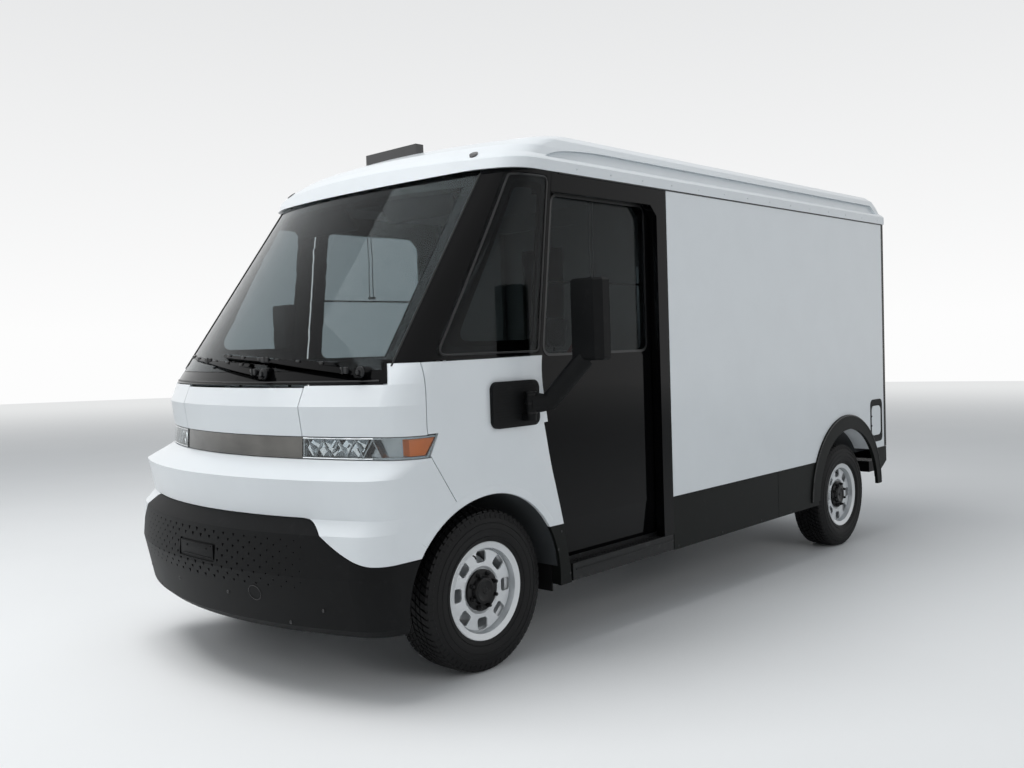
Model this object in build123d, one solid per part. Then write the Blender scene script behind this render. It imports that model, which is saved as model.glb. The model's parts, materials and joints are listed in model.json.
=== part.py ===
"""Electric delivery van with sliding cab doors and a walk-through load body.

The body is drawn level, with Y measured back from the front axle and Z up from the ground
below it. It is then tilted by RAKE, since the van stands slightly tail-high when empty, and
shifted so that the origin is at the bottom centre. +X is the vehicle's left and -Y its front.
Wheels, knuckles and suspension stand upright and are only shifted. Lengths in millimetres.
"""
from build123d import *
import os
from math import cos, degrees, radians, sin, sqrt

os.makedirs("parts", exist_ok=True)

# ---- stance ----
WHEELBASE = 3889.0
RAKE = 0.84                     # degrees, tail up
TYRE_R = 393.0
TYRE_WIDTH = 240.0
RIM_LIP_R = 240.0
BEAD_R = 216.0
WHEEL_WINDOWS = 8

# ---- body envelope ----
HALF_WIDTH = 1050.0
TRACK_HALF = HALF_WIDTH - 170    # wheel centre from the middle of the van
CARGO_FRONT = 1516.0            # front edge of the load body's side walls
REAR_OVERHANG = 670.0           # rear axle to the rear end of the side walls
CARGO_REAR = WHEELBASE + REAR_OVERHANG
WALL_BOTTOM = 647.0
ROOF_EDGE = 2451.0              # lower edge of the roof cap along the sides
ROOF_TOP = 2705.0
SILL_BOTTOM = 332.0
STEP_HEIGHT = 425.0
BELT = 1520.0                   # lower edge of the side glass
SEAM = 5.0                      # gap between neighbouring panels

# ---- plan shape of the front: one long arc and two corner arcs ----
FRONT_ARC_R = 2300.0
CORNER_R = 190.0

# ---- front face, as the nose of the long arc at each height ----
BUMPER_BOTTOM = 322.0
BUMPER_KNEE = 590.0             # the foremost line of the bumper
BUMPER_FACE_TOP = 775.0         # where the bumper's face breaks into its top band
BUMPER_TOP = 835.0
SHELF_Z = 1012.0
LAMP_BOTTOM = 1086.0
LAMP_TOP = 1186.0
LAMP_END = -332.0               # rear tip of a headlamp, at its upper edge
LAMP_RAKE = 58.0                # how far its lower edge ends ahead of that
AMBER_LONG = 112.0              # turn signal at the rear end of a headlamp
LAMP_DEPTH = 50.0
HOOD_CREASE = 1325.0
HOOD_TOP = 1419.0
NOSE_BUMPER_BOTTOM = -885.0
NOSE_BUMPER = -975.0
NOSE_FACE_TOP = -955.0
NOSE_BUMPER_TOP = -895.0
NOSE_SHELF = -932.0
NOSE_LAMP_BOTTOM = -765.0
NOSE_LAMP_TOP = -759.0
NOSE_CREASE = -777.0
NOSE_HOOD_TOP = -737.0
SCREEN_TOP = 2423.0             # top edge of the windshield on the centre line
NOSE_SCREEN_TOP = 0.0
HOOD_HALF = HALF_WIDTH / 2 + 1

# ---- thicknesses ----
BUMPER_WALL = 22.0
PANEL = 16.0
HOOD_WALL = 12.0
FRAME_WALL = 34.0
GLASS = 6.0
FIT = 0.3                       # gap between pieces that seat on each other
ROOF_WALL = 45.0

# ---- load body ----
WALL = 135.0                    # a whole side wall, door pocket included
LEAF = 20.0                     # one leaf of the wall beside the pocket
FLOOR_Z = 650.0
FLOOR_THICK = 36.0
CAB_FLOOR_Z = 470.0
BULKHEAD_Y = 1545.0
BULKHEAD_THICK = 36.0

# ---- cab door ----
DOOR_RECESS = 65.0
DOOR_THICK = 36.0
DOOR_TRAVEL = 860.0
DOOR_GAP = 10.0
DOOR_BOTTOM = 445.0
DOOR_REAR = 1475.0
DOOR_TOP = 2425.0
HEADER_BOTTOM = 2350.0
JAMB_FRONT = 1420.0

# ---- wheel arches ----
FRONT_ARCH_R = 478.0
FRONT_ARCH_REACH = 538.0        # opening ahead of the front axle
REAR_ARCH_R = 510.0
FLARE_R = 625.0
LINER = 8.0
HOUSE_INNER = TRACK_HALF - 335  # inner wall of a front wheelhouse
REAR_HOUSE_INNER = TRACK_HALF - 175

nodes = {}


# ---------------------------------------------------------------- small helpers
def block(x0, x1, y0, y1, z0, z1):
    """A box given by its limits."""
    return Pos((x0 + x1) / 2, (y0 + y1) / 2, (z0 + z1) / 2) * Box(x1 - x0, y1 - y0, z1 - z0)


def outline(points, radius=0.0):
    """A closed face through points, with every corner rounded."""
    face = make_face(Polyline(*points, close=True))
    return fillet(face.vertices(), radius) if radius else face


def side_prism(points, x0, x1, radius=0.0):
    """A side-view outline, in Y and Z, carried from x0 to x1."""
    return extrude(Plane.YZ.offset(x0) * outline(points, radius), x1 - x0)


def front_prism(points, y0, y1, radius=0.0):
    """A front-view outline, in X and Z, carried from y0 to y1."""
    return extrude(Plane.XZ.offset(-y1) * outline(points, radius), y1 - y0)


def plan_prism(points, z0, z1, radius=0.0):
    """A plan outline, in X and Y, carried from z0 to z1."""
    return extrude(Plane.XY.offset(z0) * outline(points, radius), z1 - z0)


def rod(start, end, radius):
    """A round bar between two points."""
    path = Vector(*end) - Vector(*start)
    return Plane(origin=start, z_dir=path) * Cylinder(radius, path.length, align=(Align.CENTER,) * 2 + (Align.MIN,))


def across(x0, x1, y, z, radius):
    """A cylinder that lies along X."""
    return Pos((x0 + x1) / 2, y, z) * Rot(0, 90, 0) * Cylinder(radius, x1 - x0)


def opposite(shape):
    """The same piece for the other side of the van."""
    return mirror(shape, about=Plane.YZ)


def pair(shape):
    """A piece and its mirror image."""
    return Compound(children=[shape, opposite(shape)])


# ---------------------------------------------------------------- front skin
def plan_face(z, nose, half=HALF_WIDTH, inset=0.0, back=CARGO_FRONT):
    """Plan section of the cab: long front arc, corner arcs and straight sides."""
    nose, half = nose + inset, half - inset
    long_r, corner_r = FRONT_ARC_R - inset, CORNER_R - inset
    reach = long_r - corner_r
    corner_x = half - corner_r
    corner_y = nose + long_r - sqrt(reach ** 2 - corner_x ** 2)
    ux, uy = corner_x / reach, (corner_y - nose - long_r) / reach
    middle = sqrt((ux + 1) ** 2 + uy ** 2)
    start = (ux * long_r, nose + long_r + uy * long_r, z)
    bend = (corner_x + corner_r * (ux + 1) / middle, corner_y + corner_r * uy / middle, z)
    side = (half, corner_y, z)
    rear = (half, back, z)
    flip = lambda p: (-p[0], p[1], p[2])
    edges = [
        Line(rear, side),
        ThreePointArc(side, bend, start),
        ThreePointArc(start, (0, nose, z), flip(start)),
        ThreePointArc(flip(start), flip(bend), flip(side)),
        Line(flip(side), flip(rear)),
        Line(flip(rear), rear),
    ]
    return make_face(edges)


def screen_nose(z):
    """Nose of the windshield surface at a height."""
    share = (z - HOOD_TOP) / (SCREEN_TOP - HOOD_TOP)
    return NOSE_HOOD_TOP + share * (NOSE_SCREEN_TOP - NOSE_HOOD_TOP)


SKIN_TOP = ROOF_EDGE + 40.0
UPPER_SECTIONS = [
    (BUMPER_TOP, NOSE_BUMPER_TOP),
    (SHELF_Z, NOSE_SHELF),
    (LAMP_BOTTOM, NOSE_LAMP_BOTTOM),
    (LAMP_TOP, NOSE_LAMP_TOP),
    (HOOD_CREASE, NOSE_CREASE),
    (HOOD_TOP, NOSE_HOOD_TOP),
    (SKIN_TOP, screen_nose(SKIN_TOP)),
]
LOWER_SECTIONS = [
    (BUMPER_BOTTOM, NOSE_BUMPER_BOTTOM, HALF_WIDTH - 16),
    (BUMPER_BOTTOM + 35, NOSE_BUMPER_BOTTOM - 40, HALF_WIDTH - 3),
    (BUMPER_KNEE, NOSE_BUMPER, HALF_WIDTH),
    (BUMPER_FACE_TOP, NOSE_FACE_TOP, HALF_WIDTH),
    (BUMPER_TOP, NOSE_BUMPER_TOP, HALF_WIDTH),
]


def upper_body(inset=0.0):
    """Everything inside the front skin above the bumper."""
    return loft([plan_face(z, nose, inset=inset) for z, nose in UPPER_SECTIONS], ruled=True)


def lower_body(inset=0.0):
    """Everything inside the bumper and the lower front skin."""
    return loft([plan_face(z, nose, half, inset) for z, nose, half in LOWER_SECTIONS], ruled=True)


FAR = 1600.0
BUMPER_SHOULDER = HALF_WIDTH - 400         # half width over which the bumper keeps its full height
BUMPER_SIDE = 635.0             # height of the bumper's edge along the sides
BUMPER_EDGE = [(BUMPER_SHOULDER, BUMPER_TOP), (HALF_WIDTH - 290, BUMPER_TOP - 40), (HALF_WIDTH - 170, BUMPER_TOP - 128),
               (HALF_WIDTH - 75, BUMPER_SIDE + 20), (HALF_WIDTH + 50, BUMPER_SIDE)]
DOOR_EDGE = [(505, 2451), (389, 1514), (414, 1214), (454, 904), (517, 653), (560, STEP_HEIGHT)]


def door_edge_spline(shift=0.0):
    """Front edge of the doorway in side view, from the sill up."""
    pts = [(y + shift, z) for y, z in reversed(DOOR_EDGE)]
    return Spline(*pts[:-1], tangents=[(-0.19, 1.0), (0.13, 1.0)]) + Line(pts[-2], pts[-1])


def ahead_of_door(shift=0.0, x0=0.0, x1=FAR):
    """Everything in front of the doorway's edge, as a prism."""
    edge = door_edge_spline(shift)
    top, foot = (DOOR_EDGE[0][0] + shift, DOOR_EDGE[0][1]), (DOOR_EDGE[-1][0] + shift, STEP_HEIGHT)
    high = top[1] + 150
    low = SILL_BOTTOM - 100
    rest = Polyline(top, (top[0] + 19, high), (-1400, high), (-1400, low), (foot[0] + 20, low), foot)
    face = make_face(edge.edges() + rest.edges())
    return extrude(Plane.YZ.offset(x0) * face, x1 - x0)


front_axle_y = TYRE_R * sin(radians(RAKE))
front_axle_z = TYRE_R * cos(radians(RAKE))


def front_round(x0, x1, grow=0.0):
    """A front wheel opening, longer ahead of the axle than behind it, carried from x0 to x1."""
    high, reach = FRONT_ARCH_R + grow, FRONT_ARCH_REACH + grow
    ahead = Ellipse(reach, high) & Rectangle(reach, 2 * high, align=(Align.MAX, Align.CENTER))
    behind = Circle(high) & Rectangle(high, 2 * high, align=(Align.MIN, Align.CENTER))
    return extrude(Plane.YZ.offset(x0) * Pos(front_axle_y, front_axle_z) * (ahead + behind), x1 - x0)


front_arch = front_round(HOUSE_INNER, FAR)
rear_axle_y = WHEELBASE * cos(radians(RAKE)) + TYRE_R * sin(radians(RAKE))
rear_axle_z = TYRE_R * cos(radians(RAKE)) - WHEELBASE * sin(radians(RAKE))
rear_arch = across(REAR_HOUSE_INNER, FAR, rear_axle_y, rear_axle_z, REAR_ARCH_R)

upper = upper_body()
lower = lower_body()


def lamp_side(grow):
    """Side view of a headlamp: level edges and a slanted rear end, larger by grow."""
    return side_prism([(-1400, LAMP_BOTTOM - grow), (LAMP_END - LAMP_RAKE + grow, LAMP_BOTTOM - grow),
                       (LAMP_END + grow, LAMP_TOP + grow), (-1400, LAMP_TOP + grow)], HOOD_HALF + SEAM / 2 - grow, FAR)


panel_skin = upper - upper_body(PANEL)


def both_sides(cutter):
    """A cutter on one side together with its mirror image."""
    return cutter + opposite(cutter)


# side-view line between the white panels and the black glasshouse
GLASSHOUSE_LINE = [(-1400, HOOD_TOP), (-529, HOOD_TOP), (-484, 1512), (0, BELT - 5), (700, BELT + 4)]
below_glass = side_prism(GLASSHOUSE_LINE + [(700, 0), (-1400, 0)], -FAR, FAR)
above_glass = side_prism([(y, z + SEAM) for y, z in GLASSHOUSE_LINE] + [(700, 2700), (-1400, 2700)], -FAR, FAR)

FENDER_SEAM = [(-395, 1560), (-395, 1220), (-379, 1092), (-218, 845), (-150, 700)]


def ahead_of_fender(gap):
    """Everything in front of the seam between fascia and fender."""
    pts = [(y - gap, z) for y, z in FENDER_SEAM]
    return side_prism(pts + [(-150 - gap, 200), (-1400, 200), (-1400, 1560)], -FAR, FAR)



def under_bumper_edge(lift, y0=-1400.0, y1=-100.0):
    """Everything below the bumper's upper edge, which is raised by lift, from y0 to y1."""
    left = [(x, z + lift) for x, z in BUMPER_EDGE]
    right = [(-x, z) for x, z in left]
    end_x = left[-1][0]
    edges = [
        Spline(*left, tangents=[(1, 0), (1, 0)]),
        Polyline(left[-1], (end_x, 0), (-end_x, 0), right[-1]),
        Spline(*right, tangents=[(-1, 0), (-1, 0)]),
        Line(right[0], left[0]),
    ]
    face = make_face([e for curve in edges for e in curve.edges()])
    return extrude(Plane.XZ.offset(-y1) * face, y1 - y0)


# ---- bumper, fascia, corner panels, hood, fenders
lower_skin = lower - lower_body(PANEL)
all_skin = panel_skin + lower_skin
arches = both_sides(front_arch)
bumper_shell = (lower - lower_body(BUMPER_WALL)) & under_bumper_edge(0)
bumper_shell = bumper_shell & block(-FAR, FAR, -1400, -250, 0, 2000)
PERF_PITCH_X = 74.0             # triangular perforations in staggered rows
PERF_PITCH_Z = 52.0
PERF_BOTTOM, PERF_TOP = 540.0, 770.0
PERF_REACH = 720.0              # half width that they fade out over
PERF_LARGE, PERF_SMALL = 13.0, 4.0
PLATE_HALF, PLATE_LOW, PLATE_HIGH = 165.0, 606.0, 692.0
perforations = []
for row in range(int((PERF_TOP - PERF_BOTTOM) / PERF_PITCH_Z * 2) + 1):
    z = PERF_BOTTOM + row * PERF_PITCH_Z / 2
    start = -10 * PERF_PITCH_X + (row % 2) * PERF_PITCH_X / 2
    for k in range(21):
        x = start + k * PERF_PITCH_X
        fade = 1 - abs(x) / PERF_REACH
        clear_of_plate = abs(x) > PLATE_HALF + PERF_LARGE or not PLATE_LOW - PERF_LARGE < z < PLATE_HIGH + PERF_LARGE
        if fade > 0 and clear_of_plate:
            size = PERF_SMALL + (PERF_LARGE - PERF_SMALL) * fade
            perforations.append(Pos(x, z) * RegularPolygon(size, 3, rotation=-90))
pattern = extrude(Plane.XZ.offset(600) * Sketch(children=perforations), 500)
bumper_shell = bumper_shell - pattern
plate_seat = front_prism([(-PLATE_HALF, PLATE_LOW), (PLATE_HALF, PLATE_LOW), (PLATE_HALF, PLATE_HIGH),
                          (-PLATE_HALF, PLATE_HIGH)], -1400, -800, 10)
bumper_shell = bumper_shell - (plate_seat - lower_body(7))
nodes["front_bumper"] = bumper_shell - arches
fascia = (all_skin - under_bumper_edge(SEAM)) & ahead_of_fender(SEAM / 2)
fascia = fascia & block(-FAR, FAR, -1400, 0, 0, LAMP_BOTTOM - SEAM / 2)
nodes["front_fascia"] = fascia - arches
corners = panel_skin & below_glass & ahead_of_fender(SEAM / 2)
corners = corners & block(HOOD_HALF + SEAM / 2, FAR, -1400, 0, LAMP_TOP + SEAM / 2, 2000)
nodes["corner_panels"] = pair(corners)
hood_skin = upper - upper_body(HOOD_WALL)
fender = all_skin & below_glass & ahead_of_door()
fender = fender & block(0, FAR, -1400, 700, WALL_BOTTOM, 1600)
fender = fender - ahead_of_fender(-SEAM / 2) - arches
fender = fender - lamp_side(SEAM)
fender_return = block(HALF_WIDTH - DOOR_RECESS, HALF_WIDTH, 0, 700, WALL_BOTTOM, BELT)
fender_return = fender_return & below_glass & ahead_of_door() & (ahead_of_door() - ahead_of_door(-PANEL))
fender = fender + fender_return
SCOOP_TOP, SCOOP_END = (216.0, 1168.0), (454.0, 866.0)
SCOOP_FALL = 0.16               # how steeply the scoop sinks towards the doorway
SCOOP_PAD = 42.0
scoop_long = Vector(0, SCOOP_END[0] - SCOOP_TOP[0], SCOOP_END[1] - SCOOP_TOP[1])
scoop_plane = Plane(origin=(HALF_WIDTH, *SCOOP_TOP), x_dir=scoop_long,
                    z_dir=Vector(1, 0, 0).rotate(Axis((0, 0, 0), scoop_long), -degrees(SCOOP_FALL)))
pad_outline = [SCOOP_TOP, (SCOOP_TOP[0] + 70, SCOOP_TOP[1] + 60), (700, SCOOP_TOP[1] + 60), (700, SCOOP_END[1] - 30),
               (SCOOP_END[0] + 40, SCOOP_END[1] - 30)]
pad = side_prism(pad_outline, HALF_WIDTH - SCOOP_PAD, HALF_WIDTH) & ahead_of_door()
scoop = scoop_plane * Box(1200, 1200, 400, align=(Align.CENTER, Align.CENTER, Align.MIN))
scoop = scoop & side_prism([SCOOP_TOP, (SCOOP_TOP[0] + 235, SCOOP_TOP[1] + 18), (700, 1150), (700, 840),
                            (SCOOP_END[0] + 20, SCOOP_END[1] - 25), (SCOOP_END[0] - 25, SCOOP_END[1] + 12),
                            (309, 982)], 0, FAR)
fender = (fender + pad) - scoop - arches
nodes["fender_left"] = fender
nodes["fender_right"] = opposite(fender)

# ---------------------------------------------------------------- glasshouse
def roof_line(lift=0.0):
    """Everything below the roof cap's lower edge, which dips towards the front."""
    dip = [(-1400, SCREEN_TOP - 0.18 * 1400 + lift), (155, ROOF_EDGE + lift), (2000, ROOF_EDGE + lift)]
    return side_prism(dip + [(2000, 0), (-1400, 0)], -FAR, FAR)


PANE_TOP_HALF = HALF_WIDTH - 182
PANE_FOOT_HALF = HALF_WIDTH - 122
SCREEN_FOOT = HOOD_TOP + 66.0
SIGHT_EDGE = 55.0               # frame that a pane overlaps


def screen_outline(inset, z0=SCREEN_FOOT, z1=SKIN_TOP):
    """Front view of the windshield."""
    low, high = PANE_FOOT_HALF - inset, PANE_TOP_HALF - inset
    return front_prism([(-low, z0 + inset), (low, z0 + inset), (high, z1), (-high, z1)], -1400, 900)


def quarter_outline(inset, x0=600.0, x1=FAR):
    """Side view of the glass between the screen pillar and the door."""
    foot, head = BELT + 12 + inset, 2428 - inset
    front_slope = (230 + 340) / (2428 - BELT - 12)
    rear_slope = (482 - 372) / (2428 - BELT - 12)
    pts = [(-340 + inset * 1.9, foot), (372 - inset, foot), (482 - inset - rear_slope * inset, head),
           (230 + inset * 1.2 - front_slope * inset, head)]
    return side_prism(pts, x0, x1, 28.0)


glass_skin = upper - upper_body(GLASS)
seat_skin = upper - upper_body(GLASS + FIT)
frame_skin = upper - upper_body(FRAME_WALL)
house = frame_skin & above_glass & roof_line()
left_house = house & ahead_of_door(0, 0, FAR)
post_return = ahead_of_door(0, HALF_WIDTH - DOOR_RECESS, HALF_WIDTH) - ahead_of_door(-30, 0, FAR)
post_return = post_return & above_glass & roof_line() & block(0, FAR, 0, 700, BELT, 2600)
left_house = left_house + post_return
cab_frame = left_house + opposite(left_house)
SCREEN_LAND = 12.0              # black band between the glass and the white panels
screen_floor = side_prism([(y, z + SEAM + SCREEN_LAND) for y, z in GLASSHOUSE_LINE] + [(700, 2700), (-1400, 2700)], -FAR, FAR)
pane_floor = side_prism([(y, z + SEAM + SCREEN_LAND + 2) for y, z in GLASSHOUSE_LINE] + [(700, 2700), (-1400, 2700)], -FAR, FAR)
screen_cut = (seat_skin & screen_outline(0) & screen_floor) + (frame_skin & screen_outline(SIGHT_EDGE, z1=SCREEN_TOP - 60))
quarter_cut = (seat_skin & quarter_outline(0)) + quarter_outline(SIGHT_EDGE * 0.8)
cab_frame = cab_frame - screen_cut - both_sides(quarter_cut)
nodes["windshield"] = glass_skin & screen_outline(2) & roof_line(-2) & pane_floor
nodes["quarter_glass"] = pair(glass_skin & quarter_outline(2))

# ---------------------------------------------------------------- roof cap
ROOF_REAR = CARGO_REAR + 47.0
ROOF_SECTIONS = [
    (SCREEN_TOP - 22, -26.0, HALF_WIDTH + 8),
    (ROOF_EDGE + 55, 20.0, HALF_WIDTH + 8),
    (ROOF_EDGE + 68, 34.0, HALF_WIDTH - 4),
    (ROOF_EDGE + 90, 64.0, HALF_WIDTH - 34),
    (2590, 150.0, HALF_WIDTH - 58),
    (2645, 315.0, HALF_WIDTH - 92),
    (2685, 500.0, HALF_WIDTH - 150),
    (ROOF_TOP, 760.0, HALF_WIDTH - 300),
]


def roof_body(inset=0.0, drop=0.0):
    """Solid of the roof cap, or its hollow when inset."""
    faces = [plan_face(z - drop, nose, half, inset, ROOF_REAR - inset) for z, nose, half in ROOF_SECTIONS]
    return loft(faces, ruled=True)


above_roof_line = block(-FAR, FAR, -1400, 6000, 2000, 3000) - roof_line(0) - block(-FAR, FAR, 1900, 6000, 0, ROOF_EDGE)
roof = roof_body() & above_roof_line
hollow = roof_body(ROOF_WALL, ROOF_WALL * 0.8)
roof = roof - hollow
FLUTE_DEPTH = 20.0
FLUTE_START = 480.0
FLUTE_LOW, FLUTE_HIGH = 2527.0, 2604.0
flute_top = Spline((FLUTE_START, FLUTE_LOW), (FLUTE_START + 260, FLUTE_HIGH - 16), (FLUTE_START + 620, FLUTE_HIGH),
                   tangents=[(1, 0.5), (1, 0)])
flute_rest = Polyline((FLUTE_START + 620, FLUTE_HIGH), (ROOF_REAR - 90, FLUTE_HIGH), (ROOF_REAR - 60, FLUTE_LOW),
                      (FLUTE_START, FLUTE_LOW))
flute = extrude(Plane.YZ.offset(HALF_WIDTH - 200) * make_face(flute_top.edges() + flute_rest.edges()), 400)
flute = flute - roof_body(FLUTE_DEPTH)
roof = roof - both_sides(flute)
nodes["roof"] = roof


# ---------------------------------------------------------------- doorway
DOOR_FACE = HALF_WIDTH - DOOR_RECESS
DOOR_BACK = DOOR_FACE - DOOR_THICK
WALL_INNER = HALF_WIDTH - WALL
JAMB_BACK = DOOR_FACE + 8.0
GUIDE_X = (DOOR_FACE + DOOR_BACK) / 2
GUIDE_HALF = 8.0
behind_edge = block(WALL_INNER - 10, FAR, 0, 2000, 0, 2600) - ahead_of_door(3.0, 0, FAR)


def doorway_frame(x0, x1):
    """Header and rear jamb on one side of the door, in one piece."""
    whole = block(x0, x1, 400, CARGO_FRONT, STEP_HEIGHT + 2, ROOF_EDGE - FIT)
    hole = side_prism([(300, 300), (JAMB_FRONT, 300), (JAMB_FRONT, HEADER_BOTTOM), (300, HEADER_BOTTOM)], x0, x1)
    corner = side_prism([(JAMB_FRONT - 60, HEADER_BOTTOM), (JAMB_FRONT, HEADER_BOTTOM),
                         (JAMB_FRONT, HEADER_BOTTOM - 60)], x0, x1)
    return whole - hole + corner


surround = doorway_frame(JAMB_BACK, HALF_WIDTH) + doorway_frame(WALL_INNER, WALL_INNER + LEAF)
surround = surround + block(WALL_INNER, HALF_WIDTH, 400, CARGO_FRONT, DOOR_TOP + 10, ROOF_EDGE - FIT)
surround = surround & behind_edge
nodes["door_surrounds"] = pair(surround)

# ---------------------------------------------------------------- cab doors
DOOR_CORNER = 46.0
WINDOW_SIDE = 50.0              # width of the door's frame behind its window
WINDOW_FRONT = 85.0
WINDOW_R = 48.0
WINDOW_LOW, WINDOW_HIGH = BELT + 6, HEADER_BOTTOM - 8
REBATE = 16.0
SASH_Z, SASH_HIGH, SASH_THICK = 1900.0, 12.0, 8.0
PANEL_PROUD = 3.0


def door_zone(rear, low, high, front_gap, radius, x0=900.0, x1=FAR):
    """Area of the cab door behind its slanted front edge, with its corners rounded."""
    whole = side_prism([(300, low), (rear, low), (rear, high), (300, high)], x0, x1) - ahead_of_door(front_gap, 0, FAR)
    return fillet(whole.edges().filter_by(Axis.X), radius) if radius else whole


door = door_zone(DOOR_REAR, DOOR_BOTTOM, DOOR_TOP, DOOR_GAP, 0, DOOR_BACK, DOOR_FACE)
boss = door_zone(JAMB_FRONT - 26, DOOR_BOTTOM + 16, BELT - 22, DOOR_GAP + 26, DOOR_CORNER, DOOR_FACE, DOOR_FACE + PANEL_PROUD)
window = door_zone(JAMB_FRONT - WINDOW_SIDE, WINDOW_LOW, WINDOW_HIGH, WINDOW_FRONT, WINDOW_R)
pane_zone = door_zone(JAMB_FRONT - WINDOW_SIDE + REBATE, WINDOW_LOW - REBATE, WINDOW_HIGH + REBATE, WINDOW_FRONT - REBATE,
                      WINDOW_R + REBATE)
pane_mid = (DOOR_FACE + DOOR_BACK) / 2
slot = pane_zone & block(pane_mid - GLASS / 2 - FIT, pane_mid + GLASS / 2 + FIT, 0, FAR, 0, 2600)
door = (door + boss) - window - slot
lower_cut = front_prism([(DOOR_FACE - 14, DOOR_BOTTOM - 20), (DOOR_FACE + 20, DOOR_BOTTOM - 20),
                         (DOOR_FACE + 20, WALL_BOTTOM), (DOOR_FACE + PANEL_PROUD, WALL_BOTTOM)], 300, 1700)
sash_back = pane_mid - GLASS / 2 - FIT
sash = block(sash_back - SASH_THICK, sash_back, 300, JAMB_FRONT - 20, SASH_Z - SASH_HIGH / 2, SASH_Z + SASH_HIGH / 2)
door = (door - lower_cut) + (sash - ahead_of_door(WINDOW_FRONT - 10, 0, FAR))
pane = door_zone(JAMB_FRONT - WINDOW_SIDE + REBATE - 1, WINDOW_LOW - REBATE + 1, WINDOW_HIGH + REBATE - 1,
                 WINDOW_FRONT - REBATE + 1, WINDOW_R + REBATE - 1)
pane = pane & block(pane_mid - GLASS / 2, pane_mid + GLASS / 2, 0, FAR, 0, 2600)
nodes["cab_door_left"] = door
nodes["cab_door_right"] = opposite(door)
nodes["door_glass_left"] = pane
nodes["door_glass_right"] = opposite(pane)

# ---------------------------------------------------------------- side walls
FLARE_Y = rear_axle_y - 24.0
FLARE_Z = rear_axle_z + 14.0
FLARE_OUT = 606.0
FLARE_PROUD = 10.0
FLARE_DEPTH = 14.0
POCKET_REAR = DOOR_REAR + DOOR_TRAVEL + 40.0
flare_disc = across(HALF_WIDTH - FLARE_DEPTH, HALF_WIDTH + FLARE_PROUD, FLARE_Y, FLARE_Z, FLARE_OUT)
flare_seat = across(HALF_WIDTH - FLARE_DEPTH, FAR, FLARE_Y, FLARE_Z, FLARE_OUT + 1.0)
wall = block(WALL_INNER, HALF_WIDTH, CARGO_FRONT + 3, CARGO_REAR, WALL_BOTTOM + 3, ROOF_EDGE - FIT)
wall = wall + block(WALL_INNER, WALL_INNER + LEAF, CARGO_FRONT + 3, POCKET_REAR + 40, STEP_HEIGHT + 2, WALL_BOTTOM + 3)
wall = wall - block(WALL_INNER + LEAF, HALF_WIDTH - LEAF, 1400, POCKET_REAR, 0, DOOR_TOP + 12)
wall = wall - rear_arch - flare_seat
FLAP_Y, FLAP_Z = CARGO_REAR - 147.0, 872.0
FLAP_W, FLAP_H, FLAP_R = 170.0, 236.0, 42.0
FLAP_RIM = 16.0


def flap_plate(x0, x1, grow=0.0):
    """Rounded rectangle of the charging flap, seen from the side."""
    face = RectangleRounded(FLAP_W + 2 * grow, FLAP_H + 2 * grow, FLAP_R + grow)
    return extrude(Plane.YZ.offset(x0) * Pos(FLAP_Y, FLAP_Z) * face, x1 - x0)


FLAP_POCKET = 70.0
wall_left = wall - flap_plate(HALF_WIDTH - FLAP_POCKET, FAR, FLAP_RIM + 1)
flap_bezel = flap_plate(HALF_WIDTH - FLAP_POCKET + 1, HALF_WIDTH, FLAP_RIM + 1 - FIT)
flap_bezel = flap_bezel - flap_plate(HALF_WIDTH - FLAP_POCKET + 20, FAR, SEAM)
FLAP_WALL = 10.0
BARREL_R, BARREL_PIN = 4.0, 2.0
BARREL_X = HALF_WIDTH + 2.0
BARREL_Y = FLAP_Y - FLAP_W / 2 - 4.0
BARREL_LONG = 60.0


def barrel(z, length, radius):
    """Part of the flap's hinge, round its vertical axis."""
    return Pos(BARREL_X, BARREL_Y, z) * Cylinder(radius, length)


flap = flap_plate(HALF_WIDTH - FLAP_WALL, HALF_WIDTH)
leaf = block(HALF_WIDTH - 3, HALF_WIDTH + 2, BARREL_Y, BARREL_Y + 30, FLAP_Z - BARREL_LONG / 2, FLAP_Z + BARREL_LONG / 2)
flap = flap + leaf + barrel(FLAP_Z, BARREL_LONG, BARREL_R) - barrel(FLAP_Z, 200, BARREL_PIN + FIT)
flap_bezel = flap_bezel - block(HALF_WIDTH - 5, FAR, BARREL_Y - 8, BARREL_Y + 40, FLAP_Z - BARREL_LONG / 2 - 14, FLAP_Z + BARREL_LONG / 2 + 14)
flap_bezel = flap_bezel + barrel(FLAP_Z, BARREL_LONG + 26, BARREL_PIN)
for end in (-1, 1):
    flap_bezel = flap_bezel + barrel(FLAP_Z + end * (BARREL_LONG / 2 + 8), 10, BARREL_R)
    lug_z = FLAP_Z + end * (BARREL_LONG / 2 + 8)
    flap_bezel = flap_bezel + block(HALF_WIDTH - 8, BARREL_X, BARREL_Y - 5, BARREL_Y - 1, lug_z - 5, lug_z + 5)
nodes["side_wall_left"] = wall_left
nodes["side_wall_right"] = opposite(wall)
nodes["charge_flap"] = flap
nodes["charge_inlet"] = flap_bezel + across(HALF_WIDTH - FLAP_POCKET + 20, HALF_WIDTH - 25, FLAP_Y, FLAP_Z + 40, 36)

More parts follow.
